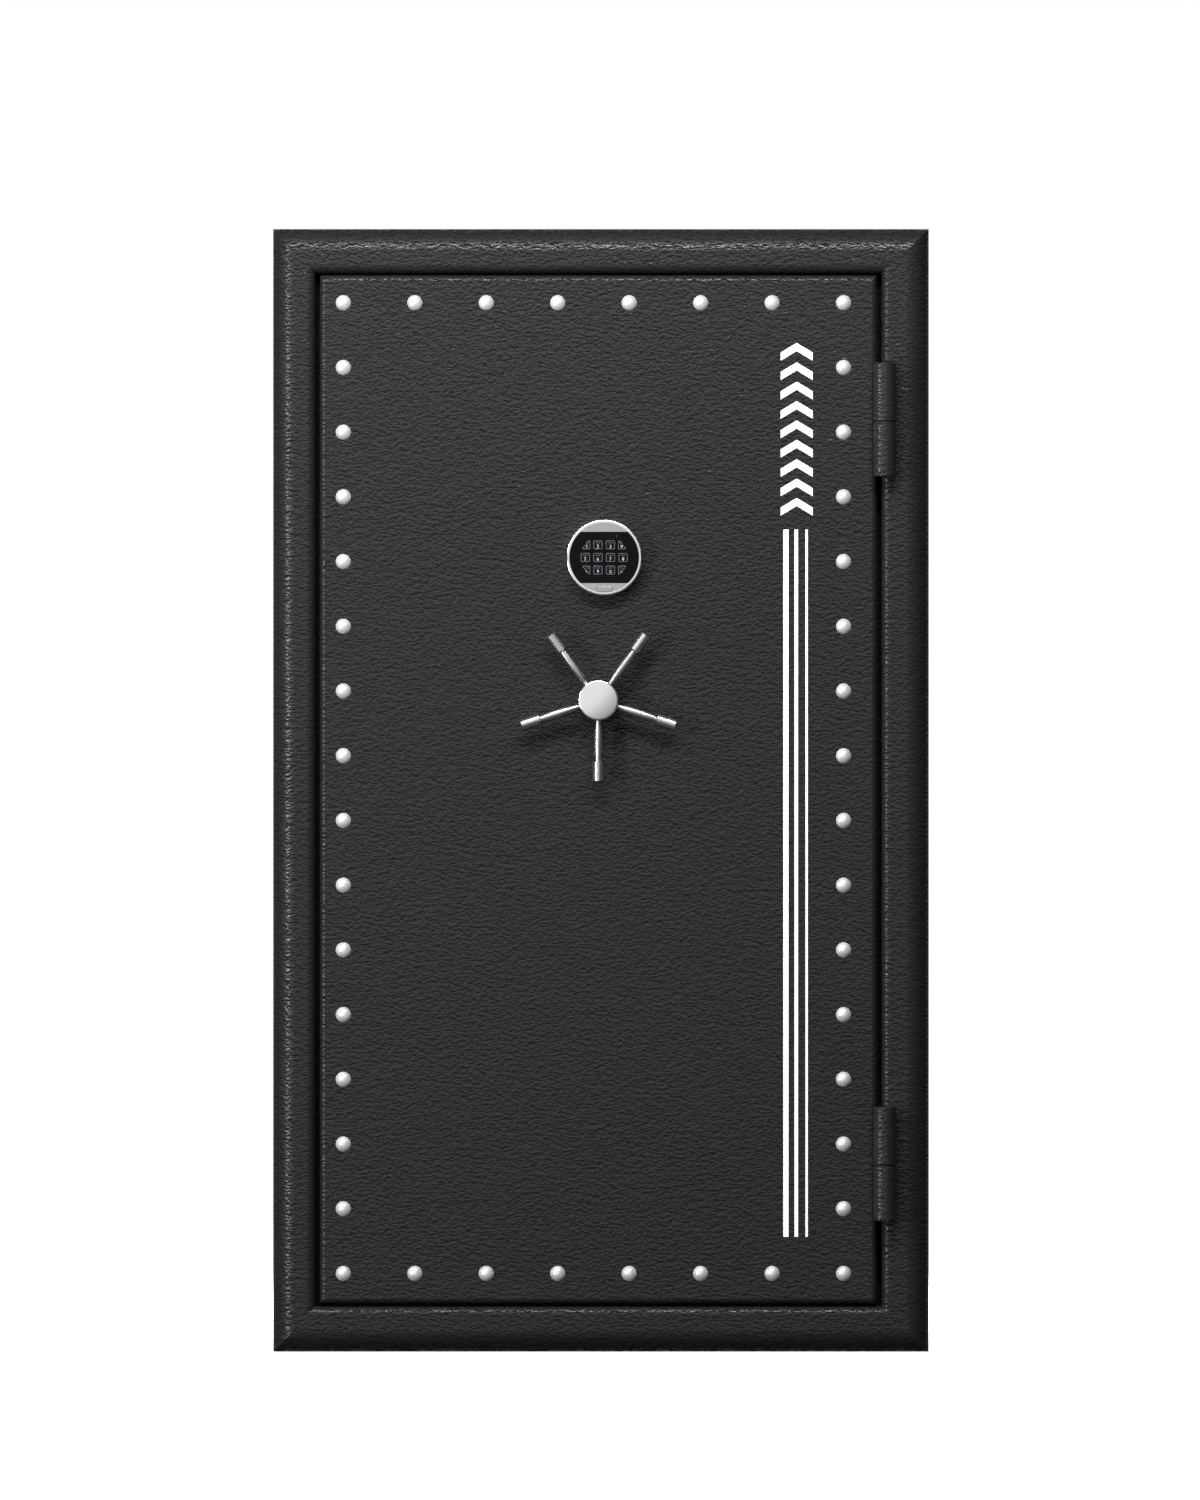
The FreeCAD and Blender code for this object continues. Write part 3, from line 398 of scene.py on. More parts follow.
# mesh tools: a shape is a pair, its points and its faces
def gridFaces(rows, cols, wrapRows=False, wrapCols=False, start=0):
    # quads that join each point of a rows by cols grid to its neighbours
    r, c = np.meshgrid(np.arange(rows if wrapRows else rows - 1),
                       np.arange(cols if wrapCols else cols - 1), indexing="ij")
    nextRow, nextCol = (r + 1) % rows, (c + 1) % cols
    quads = np.stack([r * cols + c, r * cols + nextCol, nextRow * cols + nextCol,
                      nextRow * cols + c], axis=-1)
    return (quads.reshape(-1, 4) + start).tolist()


def joined(shapes):
    # several shapes as one, each one's faces counted on from the last
    points, faces, count = [], [], 0
    for some, rows in shapes:
        points.append(some)
        faces += [[index + count for index in row] for row in rows]
        count += len(some)
    return np.concatenate(points), faces


def repeated(shape, places):
    # one shape set down at many places
    points, faces = shape
    places = np.asarray(places, float)
    everywhere = (points[None] + places[:, None]).reshape(-1, 3)
    offsets = np.arange(len(places)) * len(points)
    return everywhere, [[index + offset for index in row] for offset in offsets for row in faces]


def reordered(shape, order):
    # a shape with its first, second and third coordinate put on these axes
    points, faces = shape
    placed = np.empty_like(points)
    placed[:, list(order)] = points
    return placed, faces


def facing(shape, at, outward=-1.0):
    # stands a flat shape up in the plane of the door: its height points to the front or back
    points, faces = shape
    stood = np.stack([points[:, 0] * -outward, points[:, 2] * outward, points[:, 1]], axis=1)
    return stood + np.asarray(at, float), faces


def makePiece(name, shape, material, body, stands=(), crease=40.0):
    # merges doubled points, turns the faces outwards and keeps edges past the crease angle sharp
    points, faces = shape
    mesh = bpy.data.meshes.new(name)
    mesh.from_pydata(np.asarray(points, float).tolist(), [], faces)
    merged = bmesh.new()
    merged.from_mesh(mesh)
    bmesh.ops.remove_doubles(merged, verts=merged.verts, dist=0.000002)
    bmesh.ops.recalc_face_normals(merged, faces=merged.faces)
    merged.to_mesh(mesh)
    merged.free()
    mesh.polygons.foreach_set("use_smooth", np.ones(len(mesh.polygons), bool))
    mesh.set_sharp_from_angle(angle=math.radians(crease))
    mesh.materials.append(material)
    piece = bpy.data.objects.new(name, mesh)
    scene.collection.objects.link(piece)
    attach(piece, body)
    if stands:
        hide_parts(*stands)
    return piece


def roundedCorners(corners, radii, steps=6):
    # an outline whose corners are arcs of the given radii, counterclockwise
    corners = np.asarray(corners, float)
    into = corners - np.roll(corners, 1, axis=0)
    into /= np.linalg.norm(into, axis=1)[:, None]
    out = np.roll(into, -1, axis=0)
    turn = np.arctan2(into[:, 0] * out[:, 1] - into[:, 1] * out[:, 0], (into * out).sum(1))
    radii = np.broadcast_to(np.asarray(radii, float), turn.shape)
    reach = radii * np.tan(np.abs(turn) / 2)
    side = np.sign(turn)[:, None] * np.stack([-into[:, 1], into[:, 0]], axis=1)
    centre = corners - into * reach[:, None] + side * radii[:, None]
    angle = turn[:, None] * np.linspace(0, 1, steps)
    arm = -side * radii[:, None]
    x = arm[:, None, 0] * np.cos(angle) - arm[:, None, 1] * np.sin(angle)
    y = arm[:, None, 0] * np.sin(angle) + arm[:, None, 1] * np.cos(angle)
    return np.stack([x + centre[:, None, 0], y + centre[:, None, 1]], axis=-1).reshape(-1, 2)


def roundedBlock(halfWide, halfTall, radius, steps):
    # the outline of a rectangle about the origin with rounded corners
    return roundedCorners([(-halfWide, -halfTall), (halfWide, -halfTall), (halfWide, halfTall),
                           (-halfWide, halfTall)], radius, steps)


def outwardOf(outline):
    # unit normals of a counterclockwise outline, lengthened where it bends so that offsets stay even
    into = outline - np.roll(outline, 1, axis=0)
    into /= np.linalg.norm(into, axis=1)[:, None]
    out = np.roll(into, -1, axis=0)
    normal = np.stack([into[:, 1] + out[:, 1], -into[:, 0] - out[:, 0]], axis=1)
    return 2 * normal / (normal ** 2).sum(1)[:, None]


def board(outline, thickness, rim, steps=4):
    # a board cut to an outline: its rim is carried round as a profile with rounded edges,
    # and two flat faces close it. Its points are (along, across, height).
    angle = np.linspace(0, math.pi / 2, steps)
    inset = rim * (1 - np.sin(angle))
    rise = rim * (1 - np.cos(angle))
    insets = np.concatenate([[rim * 1.5], inset, inset[::-1], [rim * 1.5]])
    heights = np.concatenate([[0], rise, thickness - rise[::-1], [thickness]])
    rows = outline[None] - insets[:, None, None] * outwardOf(outline)[None]
    level = np.broadcast_to(heights[:, None, None], (*rows.shape[:2], 1))
    count = len(outline)
    points = np.concatenate([rows, level], axis=2).reshape(-1, 3)
    last = (len(heights) - 1) * count
    faces = gridFaces(len(heights), count, wrapCols=True)
    faces += [list(range(count))[::-1], list(range(last, last + count))]
    return points, faces


def ring(outer, inner, thickness):
    # a flat band between two outlines of the same count
    count = len(outer)
    rows = np.stack([np.c_[outer, np.zeros(count)], np.c_[outer, np.full(count, thickness)],
                     np.c_[inner, np.full(count, thickness)], np.c_[inner, np.zeros(count)]])
    return rows.reshape(-1, 3), gridFaces(4, count, True, True)


def turned(profile, steps):
    # a profile of (radius, height) points turned once round its axis
    profile = np.asarray(profile, float)
    angle = np.linspace(0, 2 * math.pi, steps, endpoint=False)
    points = np.stack([profile[:, None, 0] * np.cos(angle), profile[:, None, 0] * np.sin(angle),
                       np.broadcast_to(profile[:, None, 1], (len(profile), steps))], axis=-1)
    return points.reshape(-1, 3), gridFaces(len(profile), steps, wrapCols=True)


def halfRound(wide, high, steps):
    # a half oval profile, from one end of its flat side over the top to the other
    arc = np.linspace(0, math.pi, steps)
    return np.stack([np.cos(arc) * wide, np.sin(arc) * high], axis=1)


def carried(path, outward, rise, profile, closed=True):
    # a closed profile of (outward, rise) offsets carried along a path with those two directions
    outward, rise = (np.broadcast_to(way, path.shape) for way in (outward, rise))
    points = (path[:, None] + outward[:, None] * profile[None, :, :1]
              + rise[:, None] * profile[None, :, 1:])
    faces = gridFaces(len(path), len(profile), closed, True)
    if not closed:
        last = (len(path) - 1) * len(profile)
        faces += [list(range(len(profile)))[::-1], list(range(last, last + len(profile)))]
    return points.reshape(-1, 3), faces


def slab(top, under):
    # two grids of points closed round their borders into one solid
    rows, cols = top.shape[:2]
    count = rows * cols
    index = np.arange(count).reshape(rows, cols)
    border = np.concatenate([index[:-1, 0], index[-1, :-1], index[:0:-1, -1], index[0, :0:-1]])
    following = np.roll(border, -1)
    walls = np.stack([border, following, following + count, border + count], axis=1).tolist()
    points = np.concatenate([top.reshape(-1, 3), under.reshape(-1, 3)])
    return points, gridFaces(rows, cols) + gridFaces(rows, cols, start=count) + walls


# marks on the keys: an outline round each face, its sign, and small dashes over it
keys = {
    "names": ("1", "2", "3", "4", "5", "6", "7", "8", "star", "9", "0", "hash"),
    "signs": {"star": "*", "hash": "#"},
    "corners": {"1": (-1, 1), "4": (1, 1), "star": (-1, -1), "hash": (1, -1)},
    "halfWidth": 0.00675,
    "halfHeight": 0.00655,
    "cornerHigh": 0.00275,     # length of a corner key's short side
    "corner": 0.0024,
    "cornerKeyRadius": 0.0016,
    "ringInset": 0.0007,
    "ringWidth": 0.00065,
    "ink": 0.00006,
    "digitHeight": 0.0045,
    "signShare": 0.7,          # height of the star and the hash next to a digit
    "digitDrop": 0.0020,
    "cornerLean": 0.0017,      # a corner key's digit stands this far towards the middle
    "dash": (0.0007, 0.00045), # half sizes
    "dashPitch": 0.0021,
    "dashRise": 0.0028,
    "cornerDash": 0.00102,     # a corner key's first dash, towards the middle
}


def keyOutline(name, inset):
    # a rounded square; a corner key has its outer corner cut off
    wide, high = keys["halfWidth"], keys["halfHeight"]
    if name in keys["corners"]:
        sideways, upward = keys["corners"][name]
        shape = [(sideways * wide, -upward * high),
                 (-sideways * (wide - keys["cornerHigh"]), upward * high),
                 (-sideways * wide, upward * high), (-sideways * wide, -upward * high)]
        if sideways * upward < 0:
            shape = shape[::-1]
        outline = roundedCorners(shape, keys["cornerKeyRadius"])
    else:
        outline = roundedBlock(wide, high, keys["corner"], 6)
    return outline - inset * outwardOf(outline)


def glyph(text, height):
    # a printed sign as a thin closed mesh, centred on the origin
    curve = bpy.data.curves.new("sign", "FONT")
    curve.body = text
    curve.size = 1.0
    curve.extrude = 0.02
    curve.resolution_u = 3
    holder = bpy.data.objects.new("sign", curve)
    scene.collection.objects.link(holder)
    bpy.context.view_layer.update()
    mesh = bpy.data.meshes.new_from_object(holder.evaluated_get(
        bpy.context.evaluated_depsgraph_get()))
    points = np.empty(len(mesh.vertices) * 3)
    mesh.vertices.foreach_get("co", points)
    points = points.reshape(-1, 3)
    faces = [list(face.vertices) for face in mesh.polygons]
    bpy.data.objects.remove(holder)
    bpy.data.meshes.remove(mesh)
    low, high = points.min(0), points.max(0)
    points = (points - (low + high) / 2) * (height / (high[1] - low[1]))
    points[:, 2] = (points[:, 2] > 0) * keys["ink"]
    return points, faces


def markKey(name):
    low, high = boxOf("key_" + name)
    at = np.array([(low[0] + high[0]) / 2, low[1], (low[2] + high[2]) / 2])
    body, ink = "button_" + name, keys["ink"]
    outer = keyOutline(name, keys["ringInset"])
    inner = keyOutline(name, keys["ringInset"] + keys["ringWidth"])
    makePiece("key_ring_" + name, facing(ring(outer, inner, ink), at), ringInk, body)
    if name in keys["corners"]:
        inwards = -keys["corners"][name][0]
        lean = inwards * keys["cornerLean"]
        dashes = inwards * (keys["cornerDash"] + np.arange(2) * keys["dashPitch"])
    else:
        lean = 0.0
        dashes = np.arange(-1, 2) * keys["dashPitch"]
    height = keys["digitHeight"] * (keys["signShare"] if name in keys["signs"] else 1)
    makePiece("key_sign_" + name, facing(glyph(keys["signs"].get(name, name), height),
                                         at + [lean, 0, -keys["digitDrop"]]),
              digitInk, body)
    wide, high = keys["dash"]
    dash = facing(board(roundedBlock(wide, high, high * 0.5, 2), ink, ink * 0.3, 2), at)
    makePiece("key_dash_" + name, repeated(dash, [(x, 0, keys["dashRise"]) for x in dashes]),
              ringInk, body)


for name in keys["names"]:
    markKey(name)
print("keys marked:", len(keys["names"]))


# signal lamp and blank plaque on the keypad
keypadTrim = {
    "lampAt": (0.0169, 0.0292),          # across and up from the keypad's middle
    "lampRadius": 0.0009,
    "lampSteps": 16,
    "plaqueDrop": 0.0424,
    "plaqueHalf": (0.0108, 0.0032),
    "plaqueRound": 0.98,                 # radius of its ends, as a share of its half height
    "plaqueRise": 0.0005,
    "plaqueGroove": 0.0007,
}
housingLow, housingHigh = boxOf("keypad_housing")
padMiddle = (housingLow + housingHigh) / 2
across, up = keypadTrim["lampAt"]
arc = np.linspace(0, math.pi / 2, 5)
lampProfile = keypadTrim["lampRadius"] * np.stack([np.cos(arc), 0.5 * np.sin(arc)], axis=1)
lamp, lampFaces = turned(lampProfile, keypadTrim["lampSteps"])
lampFaces.append(list(range(keypadTrim["lampSteps"]))[::-1])
makePiece("signal_lamp", facing((lamp, lampFaces), [padMiddle[0] + across,
                                                    boxOf("keypad_face")[0][1],
                                                    padMiddle[2] + up]),
          lampLens, "door")
plaqueAt = [padMiddle[0], housingLow[1], padMiddle[2] - keypadTrim["plaqueDrop"]]
wide, high = keypadTrim["plaqueHalf"]
plaqueOutline = roundedBlock(wide, high, high * keypadTrim["plaqueRound"], 9)
plaque = board(plaqueOutline, keypadTrim["plaqueRise"], keypadTrim["plaqueRise"] * 0.45)
makePiece("keypad_plaque", facing(plaque, plaqueAt), finishes["silver_casting"], "door")
grooveOutline = plaqueOutline + keypadTrim["plaqueGroove"] * outwardOf(plaqueOutline)
makePiece("keypad_plaque_groove", facing(ring(grooveOutline, plaqueOutline, keys["ink"]), plaqueAt),
          ringInk, "door")
print("keypad trim made")


# handle hub: a low dome with a rolled edge
hub = {"bevel": 0.0029, "dome": 0.0016, "rings": 14, "steps": 96, "foot": 0.0004}


def hubProfile(radius, deep):
    # from the back's middle out to a small chamfer, round the rolled edge, and in over the crown
    flat = radius - hub["bevel"]
    arc = np.linspace(0, math.pi / 2, 7)
    edge = np.stack([flat + hub["bevel"] * np.cos(arc),
                     deep - hub["dome"] - hub["bevel"] * (1 - np.sin(arc))], axis=1)
    out = np.linspace(flat, 0, hub["rings"])[1:]
    crown = np.stack([out, deep - hub["dome"] * (out / flat) ** 2], axis=1)
    return np.concatenate([[[0, 0], [radius - hub["foot"], 0], [radius, hub["foot"]]], edge, crown])


hubLow, hubHigh = boxOf("handle_hub")
hubRadius, hubDeep = (hubHigh[0] - hubLow[0]) / 2, hubHigh[1] - hubLow[1]
hubAt = [(hubLow[0] + hubHigh[0]) / 2, hubHigh[1], (hubLow[2] + hubHigh[2]) / 2]
makePiece("hub_knob", facing(turned(hubProfile(hubRadius, hubDeep), hub["steps"]), hubAt),
          satinHub, "handle", ["handle_hub"], 50.0)
print("hub made")


# door seal: a bulb profile carried round the stop flange
seal = {"width": 0.018, "corner": 0.012, "bulb": 0.0066, "flat": 0.0012, "steps": 14}
sealLow, sealHigh = boxOf("door_seal")
sealMiddle, sealHalf = (sealLow + sealHigh) / 2, (sealHigh - sealLow) / 2
sealEdge = seal["width"] / 2
outline = roundedBlock(sealHalf[0] - sealEdge, sealHalf[2] - sealEdge, seal["corner"], 8)
normal = outwardOf(outline)
normal /= np.linalg.norm(normal, axis=1)[:, None]
bulb = halfRound(seal["bulb"], sealHigh[1] - sealLow[1] - seal["flat"], seal["steps"])
sealProfile = np.concatenate([[[sealEdge, 0], [sealEdge, seal["flat"]]], bulb + [0, seal["flat"]],
                              [[-sealEdge, seal["flat"]], [-sealEdge, 0]]])
sealPath = np.stack([outline[:, 0] + sealMiddle[0], np.full(len(outline), sealHigh[1]),
                     outline[:, 1] + sealMiddle[2]], axis=1)
sealOutward = np.stack([normal[:, 0], np.zeros(len(normal)), normal[:, 1]], axis=1)
makePiece("seal_strip", carried(sealPath, sealOutward, (0.0, -1.0, 0.0), sealProfile),
          finishes["seal_rubber"], "cabinet", ["door_seal"])
print("seal made")


# padded cover on the door's back
cover = {
    "columns": 130, "rows": 250,
    "edge": 0.0035,            # thickness at the rim
    "body": 0.0025,            # how much the rolled rim adds to it
    "crown": 0.0052,           # how much a pad swells over its channels
    "roll": (0.011, 1.4),      # width of the rolled rim, and how squarely it rolls
    "ripple": 0.0004,
    "channels": (0.25, 0.5, 0.75),
    "sideChannels": (0.5,),
    "channelWidth": 0.012,
    "pullIn": 0.0016,          # how far the sides draw in between the channels' ends
    "clear": 0.0002,           # between the cover's back and the plate that it lies on
    "seamInset": 0.02,
    "stitch": 0.0075,          # pitch of the stitches
    "stitchLength": 0.0048,
    "stitchRadius": 0.00055,
    "screwInset": 0.016,
    "screwPitch": 0.24,
    "screwSink": 0.0006,
    # (radius, height) from the middle of a screw's head, out over its dome and back under it
    "screwHead": [(0.0, 0.0024), (0.0016, 0.0022), (0.0032, 0.0016), (0.0042, 0.0006),
                  (0.0044, 0.0), (0.0044, -0.0012), (0.0, -0.0012)],
}
coverLow, coverHigh = boxOf("door_back_cover")
coverWide, _, coverTall = coverHigh - coverLow


def offChannels(share, places, length):
    # 1 away from the sewn channels at these shares of a length, and 0 down in them
    away = (share[..., None] - np.array(places)) * length / cover["channelWidth"]
    return (1 - np.exp(-away ** 2)).prod(axis=-1)


def coverThickness(u, v):
    # a rim that rolls up to full height, less a soft valley at each sewn channel, plus slow
    # ripples that fade at the seams
    width, power = cover["roll"]
    fromEdge = np.minimum(np.minimum(u, 1 - u) * coverWide, np.minimum(v, 1 - v) * coverTall)
    roll = 1 - np.exp(-(fromEdge / width) ** power)
    pad = (offChannels(v, cover["channels"], coverTall)
           * offChannels(u, cover["sideChannels"], coverWide))
    ripple = (cover["ripple"] * np.sin(u * 31 + 3 * np.sin(v * 17))
              * np.sin(v * 53 + 2 * np.sin(u * 13)))
    return cover["edge"] + roll * (cover["body"] + pad * cover["crown"]) + ripple * roll * pad


def onCover(x, z):
    # points of the cover's padded face over these places
    thickness = coverThickness((x - coverLow[0]) / coverWide, (z - coverLow[2]) / coverTall)
    return np.stack([x, coverLow[1] + thickness, z], axis=-1)


u, v = np.meshgrid(np.linspace(0, 1, cover["columns"]), np.linspace(0, 1, cover["rows"]),
                   indexing="ij")
frontGrid = onCover(coverLow[0] + u * coverWide, coverLow[2] + v * coverTall)
pulled = cover["pullIn"] * np.sin(v[0] * math.pi * 4) ** 2
frontGrid[0, :, 0] += pulled
frontGrid[-1, :, 0] -= pulled
backGrid = frontGrid.copy()
backGrid[..., 1] = coverLow[1] + cover["clear"]
coverPad = makePiece("door_cover_pad", slab(frontGrid, backGrid), paddedCloth, "door",
                     ["door_back_cover"], 60.0)


def seam(start, end):
    # places of a row of stitches between two ends of the cover
    return np.arange(start + cover["seamInset"], end - cover["seamInset"], cover["stitch"])


seamX, seamZ = seam(coverLow[0], coverHigh[0]), seam(coverLow[2], coverHigh[2])
acrossPlaces = np.concatenate([onCover(seamX, np.full_like(seamX, coverLow[2] + share * coverTall))
                               for share in cover["channels"]])
upPlaces = np.concatenate([onCover(np.full_like(seamZ, coverLow[0] + share * coverWide), seamZ)
                           for share in cover["sideChannels"]])
stitchBow = (np.array([[-1, 0, 0], [-0.6, 0.8, 0], [0.6, 0.8, 0], [1, 0, 0]])
             * [cover["stitchLength"] / 2, cover["stitchRadius"], 0])
stitchProfile = halfRound(cover["stitchRadius"], cover["stitchRadius"], 5)
stitch = carried(stitchBow, (0.0, 0.0, 1.0), (0.0, 1.0, 0.0), stitchProfile, closed=False)
makePiece("cover_stitches", joined([repeated(stitch, acrossPlaces),
                                    repeated(reordered(stitch, (2, 1, 0)), upPlaces)]),
          stitchThread, "door")


def screwRow(start, end):
    # places of the screws along one side of the cover, evenly near their pitch
    return np.linspace(start + cover["screwInset"], end - cover["screwInset"],
                       round((end - start) / cover["screwPitch"]) + 1)


screwX, screwZ = screwRow(coverLow[0], coverHigh[0]), screwRow(coverLow[2], coverHigh[2])
screwPlaces = np.concatenate([onCover(screwX, np.full_like(screwX, z)) for z in screwZ[[0, -1]]]
                             + [onCover(np.full_like(screwZ[1:-1], x), screwZ[1:-1])
                                for x in screwX[[0, -1]]])
screwHead = facing(turned(cover["screwHead"], 18), (0, -cover["screwSink"], 0), outward=1.0)
makePiece("cover_screws", repeated(screwHead, screwPlaces), finishes["plain_steel"], "door")
print("door cover made:", len(screwPlaces), "screws")


# carpeted boards
boards = {
    "rim": 0.0045,
    "corner": 0.003,
    "shelfCount": 3,
    "shelfThickness": 0.018,
    "rackRim": 0.0035,
    "notchCount": 7,
    "notchWidth": 0.034,
    "notchDepth": 0.048,
    "notchRound": 0.97,        # radius of its end, as a share of its half width
    "notchMouth": 0.005,       # radius of the corners at its mouth
}


def boardOutline(low, high):
    return roundedCorners([(low[0], low[1]), (high[0], low[1]), (high[0], high[1]),
                           (low[0], high[1])], boards["corner"], 5)


def carpeted(name, shape, node):
    makePiece(name, shape, finishes["carpeted_board"], "cabinet", [node])


def flatBoard(node, name, axis):
    # a carpet-wrapped board in its node's box; axis is the one across its thickness
    low, high = boxOf(node)
    others = [k for k in range(3) if k != axis]
    points, faces = board(boardOutline(low[others], high[others]), high[axis] - low[axis],
                          boards["rim"])
    points[:, 2] += low[axis]
    carpeted(name, reordered((points, faces), (*others, axis)), node)


def notchedOutline(low, high):
    # a rectangle whose front edge has evenly spaced notches with round ends, for the barrels
    pitch = (high[0] - low[0]) / boards["notchCount"]
    half, deepest = boards["notchWidth"] / 2, low[1] + boards["notchDepth"]
    corners, radii = [], []
    for x in low[0] + pitch * (np.arange(boards["notchCount"]) + 0.5):
        corners += [(x - half, low[1]), (x - half, deepest), (x + half, deepest),
                    (x + half, low[1])]
        radii += [boards["notchMouth"], *[half * boards["notchRound"]] * 2, boards["notchMouth"]]
    corners += [(high[0], low[1]), (high[0], high[1]), (low[0], high[1]), (low[0], low[1])]
    radii += [boards["corner"]] * 4
    return roundedCorners(corners, radii, 8)


flatBoard("top_shelf", "carpeted_top_shelf", 2)
flatBoard("divider", "carpeted_divider", 0)

shelfLow, shelfHigh = boxOf("side_shelves")
shelf = board(boardOutline(shelfLow, shelfHigh), boards["shelfThickness"], boards["rim"])
shelfBottoms = np.linspace(shelfLow[2], shelfHigh[2] - boards["shelfThickness"],
                           boards["shelfCount"])
carpeted("carpeted_side_shelves", repeated(shelf, [(0, 0, z) for z in shelfBottoms]),
         "side_shelves")

rackLow, rackHigh = boxOf("barrel_rack")
rack = board(notchedOutline(rackLow, rackHigh), rackHigh[2] - rackLow[2], boards["rackRim"])
carpeted("carpeted_barrel_rack", repeated(rack, [(0, 0, rackLow[2])]), "barrel_rack")
print("carpeted boards made")


# linings and floor carpet
lining = {"rim": 0.002, "step": 0.02, "wave": 0.0005, "thick": 0.006}


def liningRows(start, end):
    # evenly spaced rows, with two more close to each end for the rolled rim
    even = np.linspace(start, end, int((end - start) / lining["step"]) + 2)
    near = np.array([0.3, 1]) * lining["rim"]
    return np.sort(np.concatenate([even, start + near, end - near]))


def liningPanel(spanA, spanB, base, thickness, order):
    # a cloth-faced panel: its show face is a grid with a slow wave, rolled down at its rim
    a, b = np.meshgrid(liningRows(*spanA), liningRows(*spanB), indexing="ij")
    fromRim = np.minimum(np.minimum(a - spanA[0], spanA[1] - a),
                         np.minimum(b - spanB[0], spanB[1] - b))
    roll = np.sqrt(1 - (1 - np.clip(fromRim / lining["rim"], 0, 1)) ** 2)
    wave = lining["wave"] * np.sin(a * 9 + 1.3 * np.sin(b * 7)) * np.sin(b * 11)
    level = abs(thickness) - lining["rim"] * (1 - roll) - lining["wave"] + wave * roll
    top = np.stack([a, b, base + np.sign(thickness) * level], axis=-1)
    under = np.stack([a, b, np.full_like(a, base)], axis=-1)
    return reordered(slab(top, under), order)


low, high = boxOf("wall_linings")
thick = lining["thick"]
depthSpan, heightSpan = (low[1], high[1]), (low[2], high[2] - thick)
wallPanels = joined([
    liningPanel(depthSpan, heightSpan, low[0], thick, (1, 2, 0)),
    liningPanel(depthSpan, heightSpan, high[0], -thick, (1, 2, 0)),
    liningPanel((low[0] + thick, high[0] - thick), heightSpan, high[1], -thick, (0, 2, 1)),
    liningPanel((low[0], high[0]), depthSpan, high[2], -thick, (0, 1, 2)),
])
makePiece("lining_panels", wallPanels, finishes["grey_lining"], "cabinet",
          ["wall_linings"])

floorLow, floorHigh = boxOf("floor_carpet")
carpet = makePiece("floor_carpet_pile",
                   liningPanel((floorLow[0], floorHigh[0]), (floorLow[1], floorHigh[1]),
                               floorLow[2], floorHigh[2] - floorLow[2], (0, 1, 2)),
                   finishes["carpeted_board"], "cabinet", ["floor_carpet"])
print("linings made")


# weld seam round the back panel
weld = {
    "radius": 0.0022,
    "flatten": 0.45,           # its height as a share of its half width
    "overlap": 0.00088,        # how far the seam's middle lies outside the panel's outline
    "pitch": 0.0045,           # of the ripples
    "ripple": 0.00035,
    "step": 0.0015,
}
panelLow, panelHigh = boxOf("back_panel")
left, bottom = panelLow[[0, 2]] - weld["overlap"]
right, top = panelHigh[[0, 2]] + weld["overlap"]
loop = np.array([(left, bottom), (right, bottom), (right, top), (left, top)])
sides = np.roll(loop, -1, axis=0) - loop
runs, headings = [], []
for corner, side, length in zip(loop, sides, np.linalg.norm(sides, axis=1)):
    share = np.arange(0, 1, weld["step"] / length)[:, None]
    runs.append(corner + share * side)
    headings.append(np.broadcast_to(side / length, (len(share), 2)))
runs, headings = np.concatenate(runs), np.concatenate(headings)
travel = np.arange(len(runs)) * weld["step"]
bulge = weld["ripple"] * (np.abs(np.sin(math.pi * travel / weld["pitch"])) - 1)
weldPath = np.stack([runs[:, 0], panelHigh[1] + bulge, runs[:, 1]], axis=1)
weldOutward = np.stack([headings[:, 1], np.zeros(len(runs)), -headings[:, 0]], axis=1)
bead = halfRound(weld["radius"], weld["radius"] * weld["flatten"], 7)
makePiece("back_weld_bead", carried(weldPath, weldOutward, (0.0, 1.0, 0.0), bead),
          finishes["powder_coat"], "cabinet", crease=70.0)
print("weld seam made")


# stage
stageSet = {"half": 9.0, "drop": 0.0005, "glow": 0.9, "dark": (0.91, 0.91, 0.91),
            "light": (0.93, 0.93, 0.93)}
half, level = stageSet["half"], -stageSet["drop"]
floorMesh = bpy.data.meshes.new("studio_floor")
floorMesh.from_pydata([(-half, -half, level), (half, -half, level), (half, half, level),
                       (-half, half, level)], [], [(0, 1, 2, 3)])
floorMesh.materials.append(surface(
    "paleFloor",
    lambda place: {"Base Color": blendShade(noise(place, 2.0), stageSet["dark"], stageSet["light"])},
    Roughness=0.9, Emission_Color=(1, 1, 1, 1), Emission_Strength=stageSet["glow"]))
floor = bpy.data.objects.new("studio_floor", floorMesh)
scene.collection.objects.link(floor)
floor.visible_glossy = False
floor.visible_diffuse = False


# studio light: a soft wall that the door faces, on a dim surround, with lamps
studio = {
    "ambient": 0.085,
    "front": 0.73,
    "middle": (-0.25, -1.0, 0.28),
    "wall": (0.72, 0.95),      # cosines of the angles where the wall ends and where it is full
    "diagonal": 0.16,          # how much dimmer its lower right part is
    "slant": 0.7,
    "turn": (-0.02, 0.12),     # where along that slant it starts and ends to dim
    "back": 0.30,
    "behind": (0.5, 0.95),     # where the light behind the safe starts and is full
}
world = bpy.data.worlds.new("studio")
scene.world = world
world.use_nodes = True
world.node_tree.nodes.clear()
start = Wire(world.node_tree)
way = start.add("ShaderNodeTexCoord", out="Generated")
rightward, away, upward = way.split()
dim = ease(rightward * studio["slant"] - upward * studio["slant"], *studio["turn"])
toWall = way.add("ShaderNodeVectorMath", {"operation": "DOT_PRODUCT"},
                 {0: way, 1: tuple(Vector(studio["middle"]).normalized())}, out="Value")
glow = (studio["ambient"]
        + ease(toWall, *studio["wall"]) * (studio["front"] - dim * studio["diagonal"])
        + ease(away, *studio["behind"]) * studio["back"])
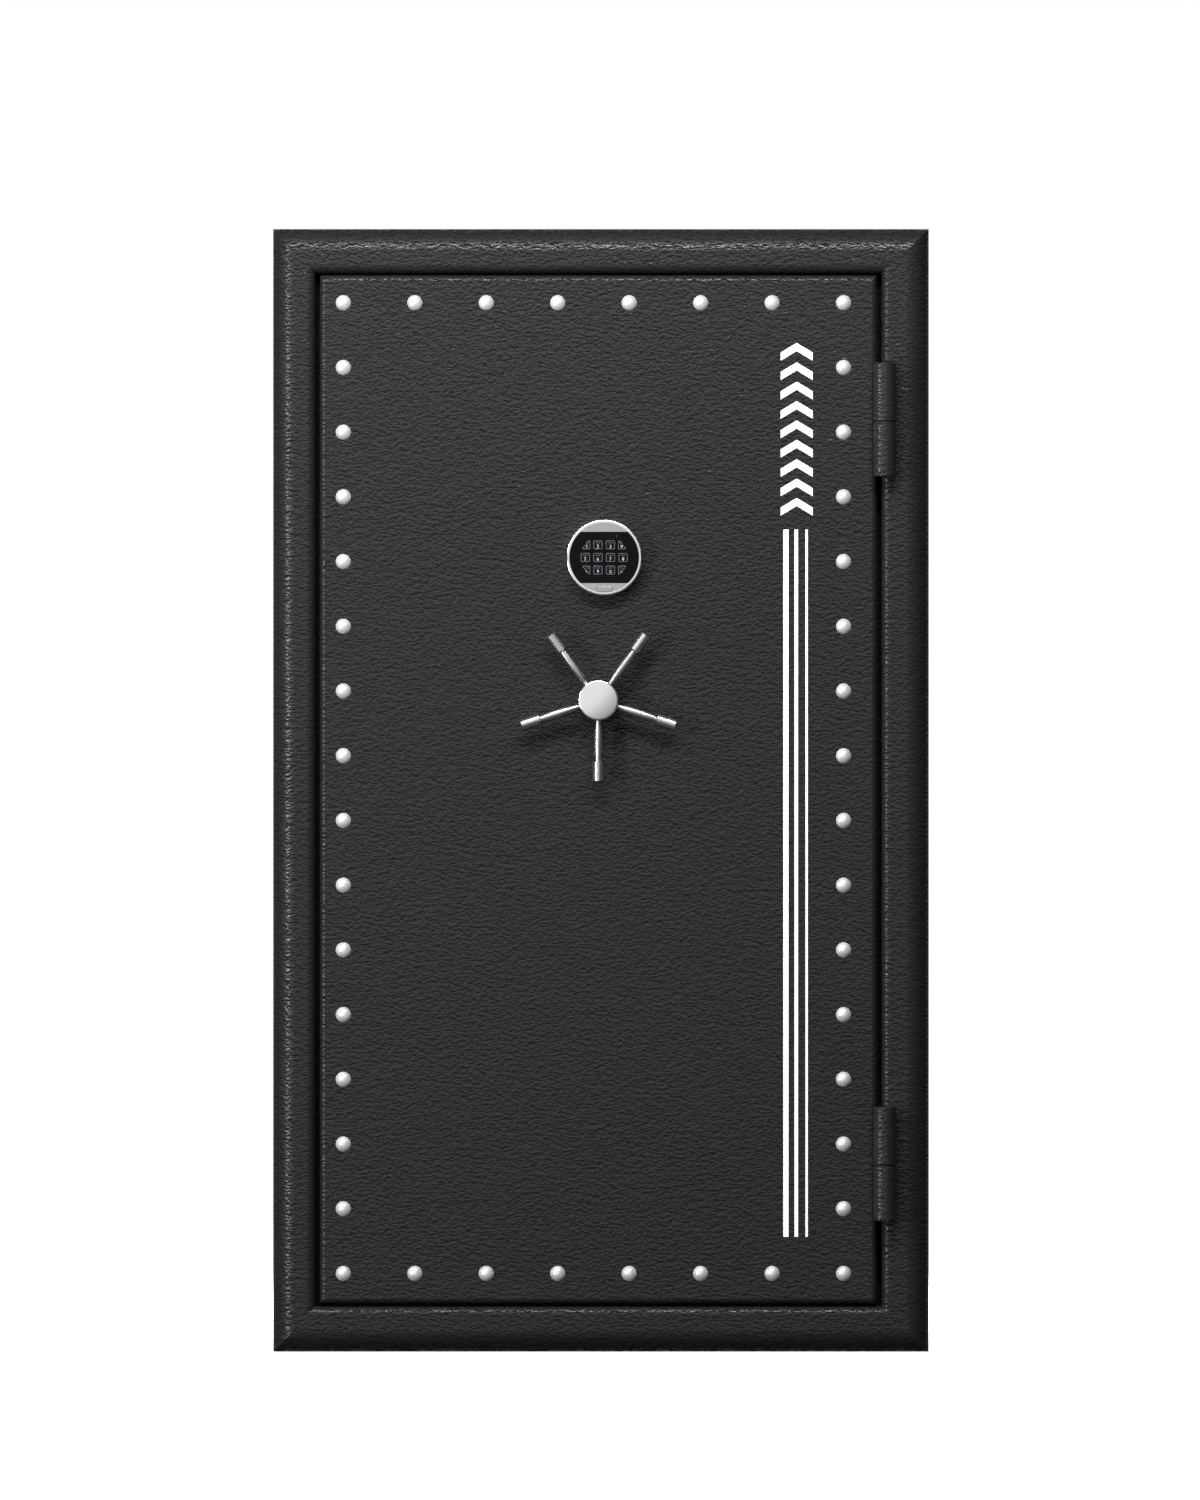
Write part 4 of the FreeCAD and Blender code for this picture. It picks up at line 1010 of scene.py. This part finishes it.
lit = start.add("ShaderNodeBackground", {}, {"Color": (1, 1, 1, 1), "Strength": glow})
seen = start.add("ShaderNodeBackground", {}, {"Color": (1, 1, 1, 1), "Strength": 1.0})
isCamera = start.add("ShaderNodeLightPath", out="Is Camera Ray")
mixed = start.add("ShaderNodeMixShader", {}, {0: isCamera, 1: lit, 2: seen})
start.add("ShaderNodeOutputWorld", {}, {"Surface": mixed})

lamps = {
    "topStrip": {"at": (-0.15, -2.3, 2.95), "aim": (0, -0.3, 1.45), "size": (2.6, 0.28),
                 "power": 124, "mirrored": True},
    "leftStrip": {"at": (-2.3, -2.4, 1.0), "aim": (-0.4, -0.3, 0.8), "size": (0.28, 2.2),
                  "power": 82, "mirrored": True},
    "backLeft": {"at": (-1.8, 3.3, 2.0), "aim": (0, 0.3, 0.8), "size": (1.2, 1.6),
                 "power": 230, "mirrored": False},
    "backRight": {"at": (1.9, 3.3, 2.0), "aim": (0, 0.3, 0.8), "size": (1.2, 1.6),
                  "power": 260, "mirrored": False},
}
for name, lamp in lamps.items():
    light = bpy.data.lights.new(name, "AREA")
    light.shape = "RECTANGLE"
    light.size, light.size_y = lamp["size"]
    light.energy = lamp["power"]
    holder = bpy.data.objects.new(name, light)
    holder.location = lamp["at"]
    holder.visible_glossy = lamp["mirrored"]
    aim = Vector(lamp["aim"]) - Vector(lamp["at"])
    holder.rotation_euler = aim.to_track_quat("-Z", "Y").to_euler()
    scene.collection.objects.link(holder)


# camera, straight in front and far off
view = {"x": -0.0013, "height": 0.8168, "distance": 33.87, "lens": 600.0, "sensor": 36.0,
        "reach": 100}
camera = bpy.data.cameras.new("camera")
camera.lens = view["lens"]
camera.sensor_width = view["sensor"]
camera.clip_end = view["reach"]
cameraHolder = bpy.data.objects.new("camera", camera)
cameraHolder.location = (view["x"], cadBox[0][1] - view["distance"], view["height"])
cameraHolder.rotation_euler = (math.pi / 2, 0, 0)
scene.collection.objects.link(cameraHolder)
scene.camera = cameraHolder
scene.view_settings.view_transform = "Standard"
print("stage, light and camera set")
